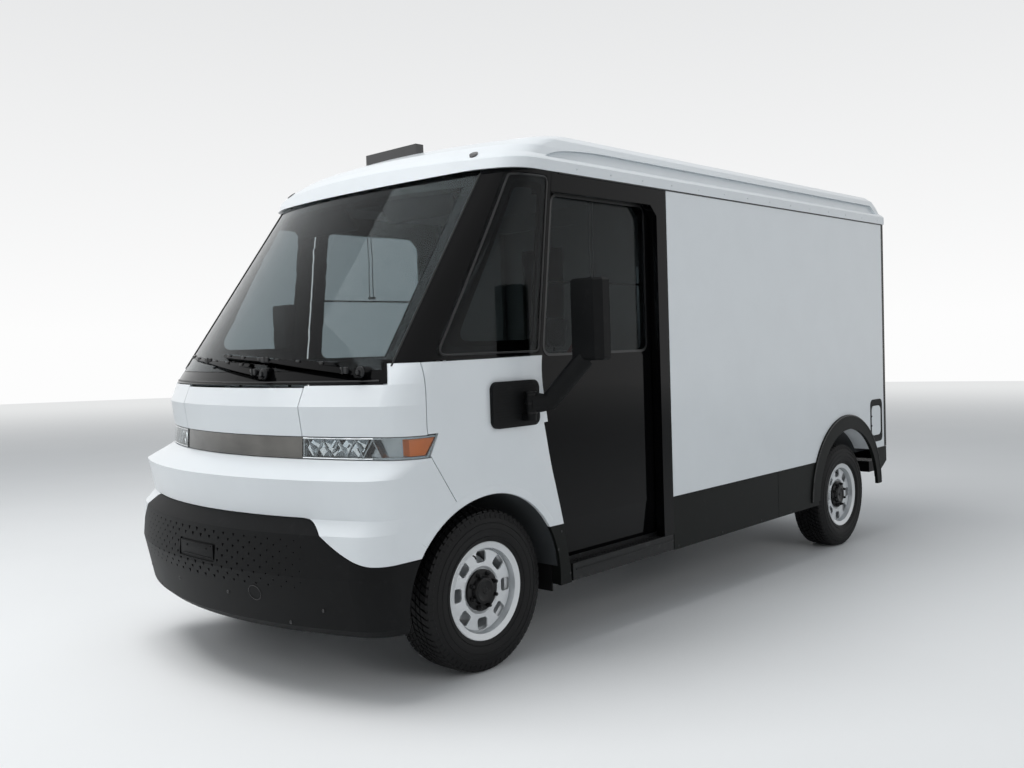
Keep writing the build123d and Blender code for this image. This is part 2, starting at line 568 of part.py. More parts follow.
# ---------------------------------------------------------------- cladding and sills
CLAD = 16.0
SILL_INNER = HALF_WIDTH - 170
clad_side = block(HALF_WIDTH - CLAD, HALF_WIDTH, CARGO_FRONT, FLARE_Y, SILL_BOTTOM, WALL_BOTTOM)
clad_rear = side_prism([(FLARE_Y, WALL_BOTTOM), (CARGO_REAR + 40, WALL_BOTTOM), (CARGO_REAR + 40, 530),
                        (CARGO_REAR - 259, 363), (FLARE_Y, 363)], HALF_WIDTH - CLAD, HALF_WIDTH)
clad_front = block(HALF_WIDTH - DOOR_RECESS + 2, HALF_WIDTH, 300, 700, SILL_BOTTOM, WALL_BOTTOM - 4)
clad_front = (clad_front & ahead_of_door()) - front_arch - front_round(0, HALF_WIDTH - PANEL, LINER + FIT)
clad_back = (clad_side + clad_rear + (flare_disc & block(0, FAR, FLARE_Y - FLARE_OUT, FLARE_Y + FLARE_OUT, 363, 1200))) - rear_arch
CLAD_SEAM_Y = 2780.0
CLAD_CREASE = 5.0
clad_back = clad_back - block(HALF_WIDTH - 4, FAR, CLAD_SEAM_Y, CLAD_SEAM_Y + 4, 0, WALL_BOTTOM)
crease = [(CARGO_FRONT - 10, WALL_BOTTOM - 96), (CARGO_FRONT + 250, WALL_BOTTOM - 108), (CARGO_FRONT + 420, WALL_BOTTOM - 180),
          (FLARE_Y - REAR_ARCH_R + 20, WALL_BOTTOM - 196)]
crease_line = Spline(*crease)
crease_rest = Polyline(crease[-1], (FLARE_Y - REAR_ARCH_R + 20, SILL_BOTTOM + 30), (CARGO_FRONT - 10, SILL_BOTTOM + 30), crease[0])
crease_face = make_face(crease_line.edges() + crease_rest.edges())
clad_back = clad_back - extrude(Plane.YZ.offset(HALF_WIDTH - CLAD_CREASE) * crease_face, 100)
nodes["cladding"] = Compound(children=[clad_back, opposite(clad_back), clad_front, opposite(clad_front)])
SILL_REAR = WHEELBASE - 589.0
sill = block(SILL_INNER, HALF_WIDTH - CLAD - FIT, 520, SILL_REAR, SILL_BOTTOM + 4, STEP_HEIGHT)
sill = sill + block(HALF_WIDTH - CLAD - FIT, HALF_WIDTH - 2, 585, CARGO_FRONT - 4, SILL_BOTTOM + 4, STEP_HEIGHT)
STEP_RIBS = 5
RIB_PITCH = (DOOR_RECESS - CLAD - 14) / STEP_RIBS
for i in range(STEP_RIBS):
    rib_x = HALF_WIDTH - CLAD - 4 - i * RIB_PITCH
    sill = sill - block(rib_x - RIB_PITCH / 2, rib_x, 640, CARGO_FRONT - 30, STEP_HEIGHT - 2, STEP_HEIGHT + 5)
rail = block(GUIDE_X - GUIDE_HALF, GUIDE_X + GUIDE_HALF, 600, POCKET_REAR - 5, STEP_HEIGHT, DOOR_BOTTOM - 0.3)
sill = sill - (block(HALF_WIDTH - DOOR_RECESS + 2 - FIT, FAR, 0, 700, 0, 1000) & ahead_of_door(FIT))
nodes["sills"] = pair((sill + rail) - front_arch - rear_arch)

# ---------------------------------------------------------------- floor, bulkhead, wheelhouses
FIREWALL_Y = -560.0
SLIDE_Y = BULKHEAD_Y + BULKHEAD_THICK + 14
SLIDE_THICK = 30.0
THRESHOLD_REAR = SLIDE_Y + SLIDE_THICK + 6
floor = block(-WALL_INNER + 2, WALL_INNER - 2, THRESHOLD_REAR + FIT, CARGO_REAR, FLOOR_Z - FLOOR_THICK, FLOOR_Z)
floor = floor - both_sides(across(REAR_HOUSE_INNER, WALL_INNER, rear_axle_y, rear_axle_z, REAR_ARCH_R + LINER))
house_rear = across(REAR_HOUSE_INNER - LINER, WALL_INNER - 2, rear_axle_y, rear_axle_z, REAR_ARCH_R + LINER)
house_rear = house_rear & block(0, FAR, 0, 6000, FLOOR_Z - FLOOR_THICK, 2000)
floor = floor + both_sides(house_rear) - both_sides(rear_arch)
nodes["cargo_floor"] = floor
CAB_FLOOR_REAR = BULKHEAD_Y - 4
cab_floor = block(-SILL_INNER + 2, SILL_INNER - 2, FIREWALL_Y, CAB_FLOOR_REAR, CAB_FLOOR_Z - 40, CAB_FLOOR_Z)
cab_floor = cab_floor - both_sides(front_round(HOUSE_INNER, FAR, LINER))
step = block(SILL_INNER - 2, WALL_INNER - 6, 560, CARGO_FRONT, CAB_FLOOR_Z - 40, CAB_FLOOR_Z)
house_front = front_round(HOUSE_INNER - LINER, HALF_WIDTH, LINER)
house_front = house_front & block(0, FAR, -1000, 1000, CAB_FLOOR_Z - 40, 2000)
house_front = house_front & (upper_body(PANEL + FIT) + lower_body(BUMPER_WALL + FIT))
cab_floor = cab_floor + both_sides(house_front) + both_sides(step)
cab_floor = cab_floor - both_sides(front_arch)
cab_floor = cab_floor - block(-FAR, FAR, -1000, FIREWALL_Y, 0, 3000)
nodes["cab_floor"] = cab_floor

DOORWAY_HALF = 330.0
BULK_TOP = 2330.0
bulk = block(-WALL_INNER + 2, WALL_INNER - 2, BULKHEAD_Y, BULKHEAD_Y + BULKHEAD_THICK, FLOOR_Z, ROOF_EDGE - 2)
bulk = bulk - block(-DOORWAY_HALF, DOORWAY_HALF, 1000, 2000, 0, BULK_TOP)
bulk = bulk + block(-WALL_INNER + 2, WALL_INNER - 2, BULKHEAD_Y, THRESHOLD_REAR, FLOOR_Z - FLOOR_THICK, FLOOR_Z)
riser = block(-SILL_INNER + 20, SILL_INNER - 20, BULKHEAD_Y, BULKHEAD_Y + 20, CAB_FLOOR_Z - 40, FLOOR_Z - FLOOR_THICK)
slide = block(-DOORWAY_HALF - 40, DOORWAY_HALF + 40, SLIDE_Y, SLIDE_Y + SLIDE_THICK, FLOOR_Z + 12, BULK_TOP + 40)
slide = slide - block(-180, 180, 1000, 2000, 1560, 2200)
nodes["bulkhead_door"] = slide
track = block(-DOORWAY_HALF - 560, DOORWAY_HALF + 60, BULKHEAD_Y + BULKHEAD_THICK, SLIDE_Y + SLIDE_THICK + 4,
              BULK_TOP + 40.3, BULK_TOP + 70)
nodes["bulkhead"] = bulk + riser + track

# ---------------------------------------------------------------- rear end
FRAME_REAR = ROOF_REAR - 6
REAR_OPEN_HALF = HALF_WIDTH - 260
REAR_OPEN_TOP = 2370.0
frame = block(-HALF_WIDTH, HALF_WIDTH, CARGO_REAR + 2, FRAME_REAR, WALL_BOTTOM + 3, ROOF_EDGE - FIT)
frame = frame + block(-HALF_WIDTH + CLAD + 3, HALF_WIDTH - CLAD - 3, CARGO_REAR + 2, FRAME_REAR, 540, WALL_BOTTOM + 3)
frame = frame - block(-REAR_OPEN_HALF, REAR_OPEN_HALF, CARGO_REAR - 100, CARGO_REAR + 200, FLOOR_Z, REAR_OPEN_TOP)
nodes["rear_frame"] = frame
slats = block(-REAR_OPEN_HALF + FIT, REAR_OPEN_HALF - FIT, CARGO_REAR + 8, CARGO_REAR + 28, FLOOR_Z + 1, REAR_OPEN_TOP - 4)
SLATS = 9
slat_pitch = (REAR_OPEN_TOP - FLOOR_Z - 10) / SLATS
for i in range(1, SLATS):
    z = FLOOR_Z + 6 + i * slat_pitch
    slats = slats - block(-FAR, FAR, CARGO_REAR + 22, CARGO_REAR + 40, z - 3, z + 3)
nodes["rear_door"] = slats
BUMPER_HALF = HALF_WIDTH - 150
BUMPER_DEPTH = 230.0
rear_bumper = block(-BUMPER_HALF, BUMPER_HALF, FRAME_REAR + 6, FRAME_REAR + BUMPER_DEPTH, 420, 510)
rear_bumper = rear_bumper - block(-BUMPER_HALF + 30, BUMPER_HALF - 30, FRAME_REAR + 30, FRAME_REAR + BUMPER_DEPTH - 30, 0, 480)
TAIL_LOW, TAIL_HIGH = 900.0, 1300.0
TAIL_WIDE, TAIL_DEEP, TAIL_ROUND = 155.0, 30.0, 25.0
tail_x = HALF_WIDTH - 50
lamp = block(tail_x - TAIL_WIDE, tail_x, FRAME_REAR + FIT, FRAME_REAR + TAIL_DEEP, TAIL_LOW, TAIL_HIGH)
lamp = fillet(lamp.edges().filter_by(Axis.Y), TAIL_ROUND)
nodes["tail_lamps"] = pair(lamp)

# ---------------------------------------------------------------- chassis
RAIL_X = 430.0
RAIL_W = 70.0
RAIL_Z0 = 500.0
RAIL_Z1 = FLOOR_Z - FLOOR_THICK
LOW_RAIL_Z = 320.0
CAB_UNDER = CAB_FLOOR_Z - 40
BEAM_HALF = HALF_WIDTH - 290     # cross member behind the front bumper
BATTERY_FRONT, BATTERY_REAR = 600.0, WHEELBASE - 649.0
rear_rail = block(RAIL_X - RAIL_W / 2, RAIL_X + RAIL_W / 2, BULKHEAD_Y + 20, FRAME_REAR - 60, RAIL_Z0, RAIL_Z1)
rear_part = both_sides(rear_rail)
for y in (BULKHEAD_Y + 20, 2400.0, 3300.0, FRAME_REAR - 120):
    rear_part = rear_part + block(-RAIL_X, RAIL_X, y, y + 60, RAIL_Z0 + 5, RAIL_Z1 - 5)
low_rail = block(RAIL_X - RAIL_W / 2, RAIL_X + RAIL_W / 2, -800, BATTERY_FRONT, LOW_RAIL_Z, CAB_UNDER)
front_part = both_sides(low_rail)
for y in (-780.0, 300.0, BATTERY_FRONT - 60):
    front_part = front_part + block(-RAIL_X, RAIL_X, y, y + 60, LOW_RAIL_Z + 5, CAB_UNDER - 5)
front_part = front_part - across(-FAR, FAR, 0, TYRE_R, 34)
front_part = front_part + (block(-BEAM_HALF, BEAM_HALF, -870, -780, LOW_RAIL_Z + 30, CAB_UNDER + 60) & lower_body(BUMPER_WALL + 2))
front_part = front_part & (lower_body(BUMPER_WALL + FIT) + block(-FAR, FAR, -600, 700, 0, 1000))
nodes["chassis_frame"] = Compound(children=[front_part, rear_part])
BATTERY_HALF = SILL_INNER - 190
BATTERY_BOTTOM = 290.0
battery = block(-BATTERY_HALF, BATTERY_HALF, BATTERY_FRONT, BATTERY_REAR, BATTERY_BOTTOM, CAB_UNDER - 2)
battery = battery + block(-BATTERY_HALF, BATTERY_HALF, BULKHEAD_Y + 25, BATTERY_REAR, BATTERY_BOTTOM + 10, RAIL_Z0)
nodes["battery_pack"] = battery
nodes["rear_bumper"] = rear_bumper + both_sides(block(400, 460, FRAME_REAR - 60 + FIT, FRAME_REAR + 60, 440, 500))

# ---------------------------------------------------------------- lamps
LENS_WALL = 5.0
LAMP_RIM = 9.0
VANES = 9                       # slanted reflector vanes in one headlamp
VANE_LEAN = 26.0
lamp_zone = lamp_side(-1)
lamp_hole = lamp_side(-1 - LAMP_RIM) & block(HOOD_HALF + SEAM / 2 + LAMP_RIM, FAR, -1400, 0, 0, 2000)
housing = upper_body(LENS_WALL + FIT) - upper_body(LAMP_DEPTH + 14)
housing = (housing & lamp_zone) - ((upper_body(LENS_WALL) - upper_body(LAMP_DEPTH)) & lamp_hole)
vane_pitch = (HALF_WIDTH - 150 - HOOD_HALF) / VANES
vanes = []
for i in range(VANES):
    x = HOOD_HALF + 24 + (i + 0.5) * vane_pitch
    lean = VANE_LEAN if i % 2 else -VANE_LEAN
    vanes.append(front_prism([(x - lean - 3, LAMP_BOTTOM), (x - lean + 3, LAMP_BOTTOM), (x + lean + 3, LAMP_TOP),
                              (x + lean - 3, LAMP_TOP)], -1400, -300))
signal_zone = block(0, FAR, LAMP_END - AMBER_LONG - LAMP_RAKE / 2, 0, LAMP_BOTTOM, LAMP_TOP)
vane_room = (upper_body(LENS_WALL + 6) - upper_body(LAMP_DEPTH + 1)) & (lamp_hole - signal_zone)
housing = housing + (vane_room & vanes[0])
for vane in vanes[1:]:
    housing = housing + (vane_room & vane)
signal = (upper_body(LENS_WALL + 8) - upper_body(LAMP_DEPTH - FIT)) & signal_zone & lamp_side(-3 - LAMP_RIM)
nodes["headlamps"] = pair(housing)
nodes["headlamp_lenses"] = pair((upper - upper_body(LENS_WALL)) & lamp_zone)
bar_zone = block(-HOOD_HALF + SEAM / 2, HOOD_HALF - SEAM / 2, -1400, 0, LAMP_BOTTOM + 1, LAMP_TOP - 1)
nodes["light_bar"] = (upper_body(4) - upper_body(34)) & bar_zone
cross = (upper_body(64.3) - upper_body(84)) & block(150 - HALF_WIDTH, HALF_WIDTH - 150, -1400, FIREWALL_Y, LAMP_BOTTOM - 20, LAMP_TOP + 20)
cross = cross + ((upper_body(34.3) - upper_body(84)) & block(-HOOD_HALF + 40, HOOD_HALF - 40, -1400, FIREWALL_Y, LAMP_BOTTOM + 10, LAMP_TOP - 20))
cross = cross + ((upper_body(PANEL + 0.3) - upper_body(84)) & block(230 - HALF_WIDTH, HALF_WIDTH - 230, -1400, FIREWALL_Y, 1040, LAMP_BOTTOM - 20))
firewall = upper_body(PANEL + FIT) & block(-FAR, FAR, FIREWALL_Y, FIREWALL_Y + 14, CAB_FLOOR_Z + 0.3, HOOD_TOP - 12)
firewall = firewall - both_sides(front_round(HOUSE_INNER - LINER - FIT, FAR, LINER + FIT))
brace = block(-BEAM_HALF, -BEAM_HALF + 60, NOSE_SHELF, FIREWALL_Y, 1050, 1080) & upper_body(84)
firewall = firewall + cross + both_sides(opposite(brace))
firewall = firewall - (both_sides(lamp_side(5)) - upper_body(LAMP_DEPTH + 14 + FIT))

# ---------------------------------------------------------------- hood on goosenecks
HINGE_Y, HINGE_Z = -672.0, 1462.0
HOOD_GAP = 9.0
NECK_X = 210.0
NECK_HALF = 5.0
NECK_IN, NECK_OUT = 76.0, 90.0
hood = hood_skin & block(SEAM / 2 - HOOD_HALF, HOOD_HALF - SEAM / 2, -1400, 0, LAMP_TOP + SEAM / 2, HOOD_TOP - HOOD_GAP)


def polar(radius, angle):
    """Point of the side view at an angle below the hinge, from the front round to the rear."""
    return (HINGE_Y - radius * cos(radians(angle)), HINGE_Z - radius * sin(radians(angle)))


def gooseneck():
    """Curved arm from the hinge pin round the cowl's edge to the hood."""
    start, stop = 42.0, 128.0
    ring = make_face([
        ThreePointArc(polar(NECK_IN, start), polar(NECK_IN, (start + stop) / 2), polar(NECK_IN, stop)),
        Line(polar(NECK_IN, stop), polar(NECK_OUT, stop)),
        ThreePointArc(polar(NECK_OUT, stop), polar(NECK_OUT, (start + stop) / 2), polar(NECK_OUT, start)),
        Line(polar(NECK_OUT, start), polar(NECK_IN, start)),
    ])
    arm = extrude(Plane.YZ.offset(NECK_X - NECK_HALF) * ring, 2 * NECK_HALF)
    spoke = outline([polar(9, 30), polar(NECK_OUT, stop - 14), polar(NECK_OUT, stop), polar(9, stop + 90)])
    arm = arm + extrude(Plane.YZ.offset(NECK_X - NECK_HALF) * spoke, 2 * NECK_HALF)
    arm = arm + across(NECK_X - NECK_HALF, NECK_X + NECK_HALF, HINGE_Y, HINGE_Z, 10)
    foot = side_prism([polar(NECK_IN - 2, start + 4), polar(NECK_OUT, start + 4), polar(NECK_OUT + 30, start - 2),
                       polar(NECK_IN + 16, start - 22)], NECK_X - 15, NECK_X + 15)
    return (arm + foot) - across(0, 2 * NECK_X, HINGE_Y, HINGE_Z, 4.3)


necks = both_sides(gooseneck()) & upper_body(HOOD_WALL - 1)
nodes["hood"] = hood + necks
hinge_stay = (block(NECK_X + NECK_HALF + 6, NECK_X + NECK_HALF + 14, HINGE_Y - 8, FIREWALL_Y + 14, HINGE_Z - 8, HINGE_Z + 8)
              + block(NECK_X + NECK_HALF + 6, NECK_X + NECK_HALF + 14, FIREWALL_Y, FIREWALL_Y + 14, HOOD_TOP - 14, HINGE_Z + 8))
cab_frame = cab_frame - both_sides(block(NECK_X - 22, NECK_X + 32, -800, -600, 1400, HINGE_Z + 20) & upper_body(9))
nodes["cab_frame"] = cab_frame
hinge_stay = hinge_stay + across(NECK_X - 12, NECK_X + NECK_HALF + 8, HINGE_Y, HINGE_Z, 4)
nodes["firewall"] = firewall + both_sides(hinge_stay & upper_body(9 + FIT))

# ---------------------------------------------------------------- cab interior
DASH_HALF = HALF_WIDTH - 180
DASH_BOTTOM = 1060.0
dash = side_prism([(-640, 1372), (-230, 1330), (-120, 1275), (-140, 1160), (-300, DASH_BOTTOM), (-640, DASH_BOTTOM)], -DASH_HALF, DASH_HALF)
dash = (dash & upper_body(70)) - block(-FAR, FAR, -1400, FIREWALL_Y + 14.3, 0, 3000)
nodes["dashboard"] = dash
SEAT_X = 430.0
HUB_Y, HUB_Z, WHEEL_TILT = 170.0, 1230.0, 35.0
steer_plane = Plane(origin=(SEAT_X, HUB_Y, HUB_Z), x_dir=(1, 0, 0), z_dir=(0, sin(radians(WHEEL_TILT)), cos(radians(WHEEL_TILT))))
STEER_R, STEER_GRIP = 198.0, 13.0
grip = Plane.XZ * Pos(STEER_R, 0) * RegularPolygon(STEER_GRIP, 8)
steering = steer_plane * (revolve(grip, Axis.Z) + Pos(0, 0, -18) * Cylinder(62, 40))
for a in (0, 180, 270):
    steering = steering + steer_plane * Rot(0, 0, a) * Pos(125, 0, -8) * Box(150, 34, 14)
column_foot = (SEAT_X, -135, 1190)
steering = steering + rod((SEAT_X, HUB_Y, HUB_Z - 20), column_foot, 34)
nodes["steering_wheel"] = steering - dash
nodes["seat_base"] = block(SEAT_X - 190, SEAT_X + 190, 560, 880, CAB_FLOOR_Z + 0.3, 740)
cushion = block(SEAT_X - 240, SEAT_X + 240, 500, 980, 740.3, 870)
back = Pos(SEAT_X, 1010, 870) * Rot(-10, 0, 0) * Pos(0, 0, 340) * Box(470, 120, 700)
head = Pos(SEAT_X, 1010, 870) * Rot(-10, 0, 0) * Pos(0, 0, 780) * Box(270, 100, 200)
nodes["driver_seat"] = cushion + back + head

# ---------------------------------------------------------------- mirrors
MOUNT_Y, MOUNT_Z = 172.0, 1290.0
mount = extrude(Plane.YZ.offset(HALF_WIDTH + 0.3) * Pos(MOUNT_Y, MOUNT_Z) * RectangleRounded(330, 225, 40), 22)
PIVOT_X, PIVOT_Y = HALF_WIDTH + 58.0, MOUNT_Y + 60.0
mount = mount + Pos(PIVOT_X, PIVOT_Y, MOUNT_Z - 70) * Cylinder(26, 29) + block(HALF_WIDTH + 10, PIVOT_X, PIVOT_Y - 26, PIVOT_Y + 26, MOUNT_Z - 84.5, MOUNT_Z - 55.5)
nodes["mirror_mounts"] = pair(mount)
HEAD_X, HEAD_Y, HEAD_Z = HALF_WIDTH + 265.0, 455.0, 1690.0
HEAD_HIGH = 400.0
head_plan = [(-95, -30), (-78, -52), (62, -52), (95, -18), (95, 34), (78, 50), (-78, 50), (-95, 34)]
mirror_head = Pos(HEAD_X, HEAD_Y) * plan_prism(head_plan, HEAD_Z - HEAD_HIGH / 2, HEAD_Z + HEAD_HIGH / 2)
mirror_head = chamfer(mirror_head.faces().filter_by(Axis.Z).edges(), 12)
GLASS_SEAT = 4.0
mirror_head = mirror_head - block(HEAD_X - 66, HEAD_X + 66, HEAD_Y + 50 - GLASS_SEAT, HEAD_Y + 60,
                                  HEAD_Z - HEAD_HIGH / 2 + 22, HEAD_Z + HEAD_HIGH / 2 - 22)
ELBOW = (PIVOT_X + 45.0, PIVOT_Y + 85.0, MOUNT_Z + 4.0)
ARM_WIDE, ARM_DEEP = 62.0, 46.0


def bar(start, end, wide, deep):
    """A bar of rounded oblong section between two points."""
    path = Vector(*end) - Vector(*start)
    section = Plane(origin=start, x_dir=Vector(0, 0, 1).cross(path), z_dir=path) * RectangleRounded(deep, wide, 14)
    return extrude(section, path.length)


mirror_arm = bar((PIVOT_X, PIVOT_Y - 4, MOUNT_Z), ELBOW, ARM_WIDE, ARM_DEEP)
mirror_arm = mirror_arm + bar(ELBOW, (HEAD_X - 20, HEAD_Y - 12, HEAD_Z - HEAD_HIGH / 2 + 20), ARM_WIDE, ARM_DEEP)
mirror_arm = mirror_arm + Pos(*ELBOW) * Cylinder(30, ARM_WIDE)
mirror_arm = mirror_arm + Pos(PIVOT_X, PIVOT_Y, MOUNT_Z) * Cylinder(30, 110)
mirror_l = mirror_head + mirror_arm
nodes["mirror_left"] = mirror_l
nodes["mirror_right"] = opposite(mirror_l)

# ---------------------------------------------------------------- roof lamps, wipers, mud flaps
solid_roof = roof_body()
id_bar = block(-220, 220, 330, 385, 2600, 2704) - solid_roof
MARKER_R, MARKER_RISE = 22.0, 9.0
roof_lamps = [id_bar]
for x, y, z in ((HALF_WIDTH - 248, 200, 2533),):
    dome = (roof_body(-MARKER_RISE) - solid_roof) & Pos(x, y, z) * Cylinder(MARKER_R, 300)
    roof_lamps += [dome, opposite(dome)]
nodes["marker_lamps"] = Compound(children=roof_lamps + [signal, opposite(signal)])
WIPER_LIFT = 6.0
BLADE_DEEP, BLADE_HALF, ARM_RISE = 16.0, 7.0, 12.0
WIPER_SPAN = 569.0              # between the two wipers' pivots
PIVOT_AT, PIVOT_R = (821.0, 1477.0), 24.0
BLADE_FROM, BLADE_TO = (649.0, 1517.0), (-236.0, 1569.0)
JOINT_AT = (200.0, 1544.0)      # where the arm holds the blade


def wiper(shift):
    """Arm, blade and pivot cap of one wiper, laid along the curved glass."""
    low, high = BLADE_HALF, BLADE_HALF * 2
    blade = front_prism([(BLADE_FROM[0] - shift, BLADE_FROM[1] - low), (BLADE_FROM[0] - shift, BLADE_FROM[1] + low),
                         (BLADE_TO[0] - shift, BLADE_TO[1] + low), (BLADE_TO[0] - shift, BLADE_TO[1] - low)], -1400, 400)
    arm = front_prism([(PIVOT_AT[0] - shift, PIVOT_AT[1] - high), (PIVOT_AT[0] - shift, PIVOT_AT[1] + high),
                       (JOINT_AT[0] - shift, JOINT_AT[1] + low), (JOINT_AT[0] - shift, JOINT_AT[1] - low)], -1400, 400)
    cap = extrude(Plane.XZ.offset(-400) * Pos(PIVOT_AT[0] - shift, PIVOT_AT[1]) * Circle(PIVOT_R), 1800)
    return (blade_shell & blade) + (arm_shell & arm) + (cap_shell & cap)


blade_shell = upper_body(-WIPER_LIFT - BLADE_DEEP) - upper_body(-FIT)
arm_shell = upper_body(-WIPER_LIFT - BLADE_DEEP - ARM_RISE) - upper_body(-WIPER_LIFT - BLADE_DEEP + 4)
cap_shell = upper_body(-WIPER_LIFT - BLADE_DEEP - ARM_RISE - 4) - upper_body(-FIT)
nodes["wipers"] = Compound(children=[wiper(0), wiper(WIPER_SPAN)])
FLAP_LOW, FLAP_THICK = 290.0, 8.0
mud_flap = block(TRACK_HALF - 90, HALF_WIDTH - 66, FRONT_ARCH_R + 8, FRONT_ARCH_R + 8 + FLAP_THICK, FLAP_LOW, CAB_UNDER - FIT)
nodes["mud_flaps"] = pair(mud_flap)

# ---------------------------------------------------------------- wheels
HUB_R = 62.0
BORE_R = 31.0
PIN_GAP = 0.3
tyre_half = TYRE_WIDTH / 2
RIM_LIP_HALF = 104.0            # flange to flange, halved
RIM_SEAT_HALF = 95.0
BARREL_WALL = 9.0
WELL_R = 190.0
TREAD_HALF, SHOULDER_HALF = 84.0, 110.0
tyre_section = [(-RIM_SEAT_HALF, BEAD_R + PIN_GAP), (-RIM_LIP_HALF, RIM_LIP_R + PIN_GAP), (-tyre_half, TYRE_R - 93),
                (-SHOULDER_HALF, TYRE_R - 31), (-TREAD_HALF, TYRE_R), (TREAD_HALF, TYRE_R), (SHOULDER_HALF, TYRE_R - 31),
                (tyre_half, TYRE_R - 93), (RIM_LIP_HALF, RIM_LIP_R + PIN_GAP), (RIM_SEAT_HALF, BEAD_R + PIN_GAP)]
WINDOW_MID_R, WINDOW_DEEP, WINDOW_WIDE, WINDOW_ROUND = 163.0, 58.0, 66.0, 16.0
DISC_X, DISC_WALL = 72.0, 8.0   # outer face of the disc, from the wheel's middle plane
HUB_FACE_R = 104.0


def turned(points):
    """Revolve a half section, given as (x, radius), about the X axis."""
    return revolve(Plane.XY * make_face(Polyline(*points, close=True)), Axis.X)


def make_tyre():
    """Tyre, seated on the rim's flanges."""
    return turned(tyre_section)


def make_rim():
    """Steel wheel with its hub and brake disc; outer side towards +X."""
    lip, seat, wall = RIM_LIP_HALF, RIM_SEAT_HALF, BARREL_WALL
    barrel = turned([(lip, RIM_LIP_R), (seat, BEAD_R), (52, BEAD_R), (38, WELL_R + wall), (-58, WELL_R + wall), (-74, BEAD_R),
                     (-seat, BEAD_R), (-lip, RIM_LIP_R), (-lip - 4, RIM_LIP_R - 4), (-seat - 4, BEAD_R - wall),
                     (-78, BEAD_R - wall), (-62, WELL_R), (42, WELL_R), (56, BEAD_R - wall), (seat + 4, BEAD_R - wall),
                     (lip + 4, RIM_LIP_R - 4)])
    disc = turned([(50, BEAD_R - wall + 1), (DISC_X, WELL_R + 4), (DISC_X, HUB_FACE_R + 12), (DISC_X - 12, HUB_FACE_R),
                   (DISC_X - 12, 0), (DISC_X - 12 - DISC_WALL, 0), (DISC_X - 12 - DISC_WALL, HUB_FACE_R),
                   (DISC_X - DISC_WALL, HUB_FACE_R + 14), (DISC_X - DISC_WALL, WELL_R), (42, BEAD_R - wall + 1)])
    for i in range(WHEEL_WINDOWS):
        window = Pos(0, WINDOW_MID_R) * RectangleRounded(WINDOW_WIDE, WINDOW_DEEP, WINDOW_ROUND)
        disc = disc - Rot(i * 360 / WHEEL_WINDOWS, 0, 0) * extrude(Plane.YZ * window, 120)
    hub = turned([(DISC_X - 16, BORE_R), (DISC_X - 16, HUB_R), (-26, HUB_R), (-26, 160), (-50, 160), (-50, BORE_R)])
    cap = across(DISC_X - 13, DISC_X + 22, 0, 0, HUB_R) + across(DISC_X - 13, DISC_X + 4, 0, 0, HUB_FACE_R - 6)
    return barrel + disc + hub + cap


rim_l = make_rim()
tyre_l = make_tyre()
for name, side, y in (("front_left", 1, 0.0), ("front_right", -1, 0.0), ("rear_left", 1, WHEELBASE),
                      ("rear_right", -1, WHEELBASE)):
    place = Pos(side * TRACK_HALF, y, TYRE_R)
    turn = Rot(0, 0, 0 if side > 0 else 180)
    nodes["tyre_" + name] = place * turn * tyre_l
    nodes["rim_" + name] = place * turn * rim_l

# ---------------------------------------------------------------- knuckles and axles
KING_X = TRACK_HALF - 95.0
JOINT_RISE = 140.0


def carrier(y):
    """Upright with its spindle and brake caliper, on the left."""
    x = TRACK_HALF
    spindle = across(x - 80, x + 45, y, TYRE_R, BORE_R - PIN_GAP)
    body = across(x - 110, x - 62, y, TYRE_R, 70)
    caliper = block(x - 78, x - 14, y + 100, y + 172, TYRE_R - 45, TYRE_R + 45) - across(x - 56, x - 20, y, TYRE_R, 166)
    link = block(x - 78, x - 62, y, y + 120, TYRE_R - 30, TYRE_R + 30)
    return spindle + body + caliper + link


knuckle = carrier(0)
upright = block(KING_X - 22, KING_X + 22, -24, 24, TYRE_R - JOINT_RISE + 25, TYRE_R + JOINT_RISE - 25)
knuckle = knuckle + upright + block(KING_X - 15, KING_X + 15, 0, 150, TYRE_R - 80, TYRE_R - 60)
for s in (-1, 1):
    knuckle = knuckle + Pos(KING_X, 0, TYRE_R + s * JOINT_RISE) * Cylinder(11, 60)
nodes["knuckle_left"] = knuckle
nodes["knuckle_right"] = opposite(knuckle)


def wishbone(z_out, z_in, half, x_in):
    """An A-shaped arm from two bushes to a ball joint."""
    eye = Pos(KING_X, 0, z_out) * Cylinder(30, 44) - Pos(KING_X, 0, z_out) * Cylinder(11.3, 60)
    arm = eye
    for s in (-1, 1):
        arm = arm + (rod((KING_X - 20, s * 8, z_out), (x_in, s * half, z_in), 14) - Pos(KING_X, 0, z_out) * Cylinder(24, 50))
        arm = arm + Pos(x_in, s * half, z_in) * Rot(90, 0, 0) * Cylinder(24, 60)
    return arm


BUSH_X = RAIL_X + RAIL_W / 2 + 24 + FIT
low_arm = wishbone(TYRE_R - JOINT_RISE, TYRE_R - JOINT_RISE + 110, 190, BUSH_X)
high_arm = wishbone(TYRE_R + JOINT_RISE, TYRE_R + JOINT_RISE + 10, 60, HOUSE_INNER + 24 + FIT)
DAMPER_X, DAMPER_Y = HOUSE_INNER + 30, 133.0
damper = rod((DAMPER_X, DAMPER_Y, 325), (DAMPER_X, DAMPER_Y, 900), 14)
damper = damper + rod((DAMPER_X, DAMPER_Y, 420), (DAMPER_X, DAMPER_Y, 900), 32)
low_arm = low_arm + (damper & across(HOUSE_INNER, FAR, 0, TYRE_R, FRONT_ARCH_R - FIT))
nodes["front_suspension"] = Compound(children=[low_arm, opposite(low_arm), high_arm, opposite(high_arm)])
front_unit = block(-230, 230, -190, 190, 240, 418)
front_unit = front_unit + block(-RAIL_X + RAIL_W / 2 + FIT, RAIL_X - RAIL_W / 2 - FIT, -60, 60, 340, 380)
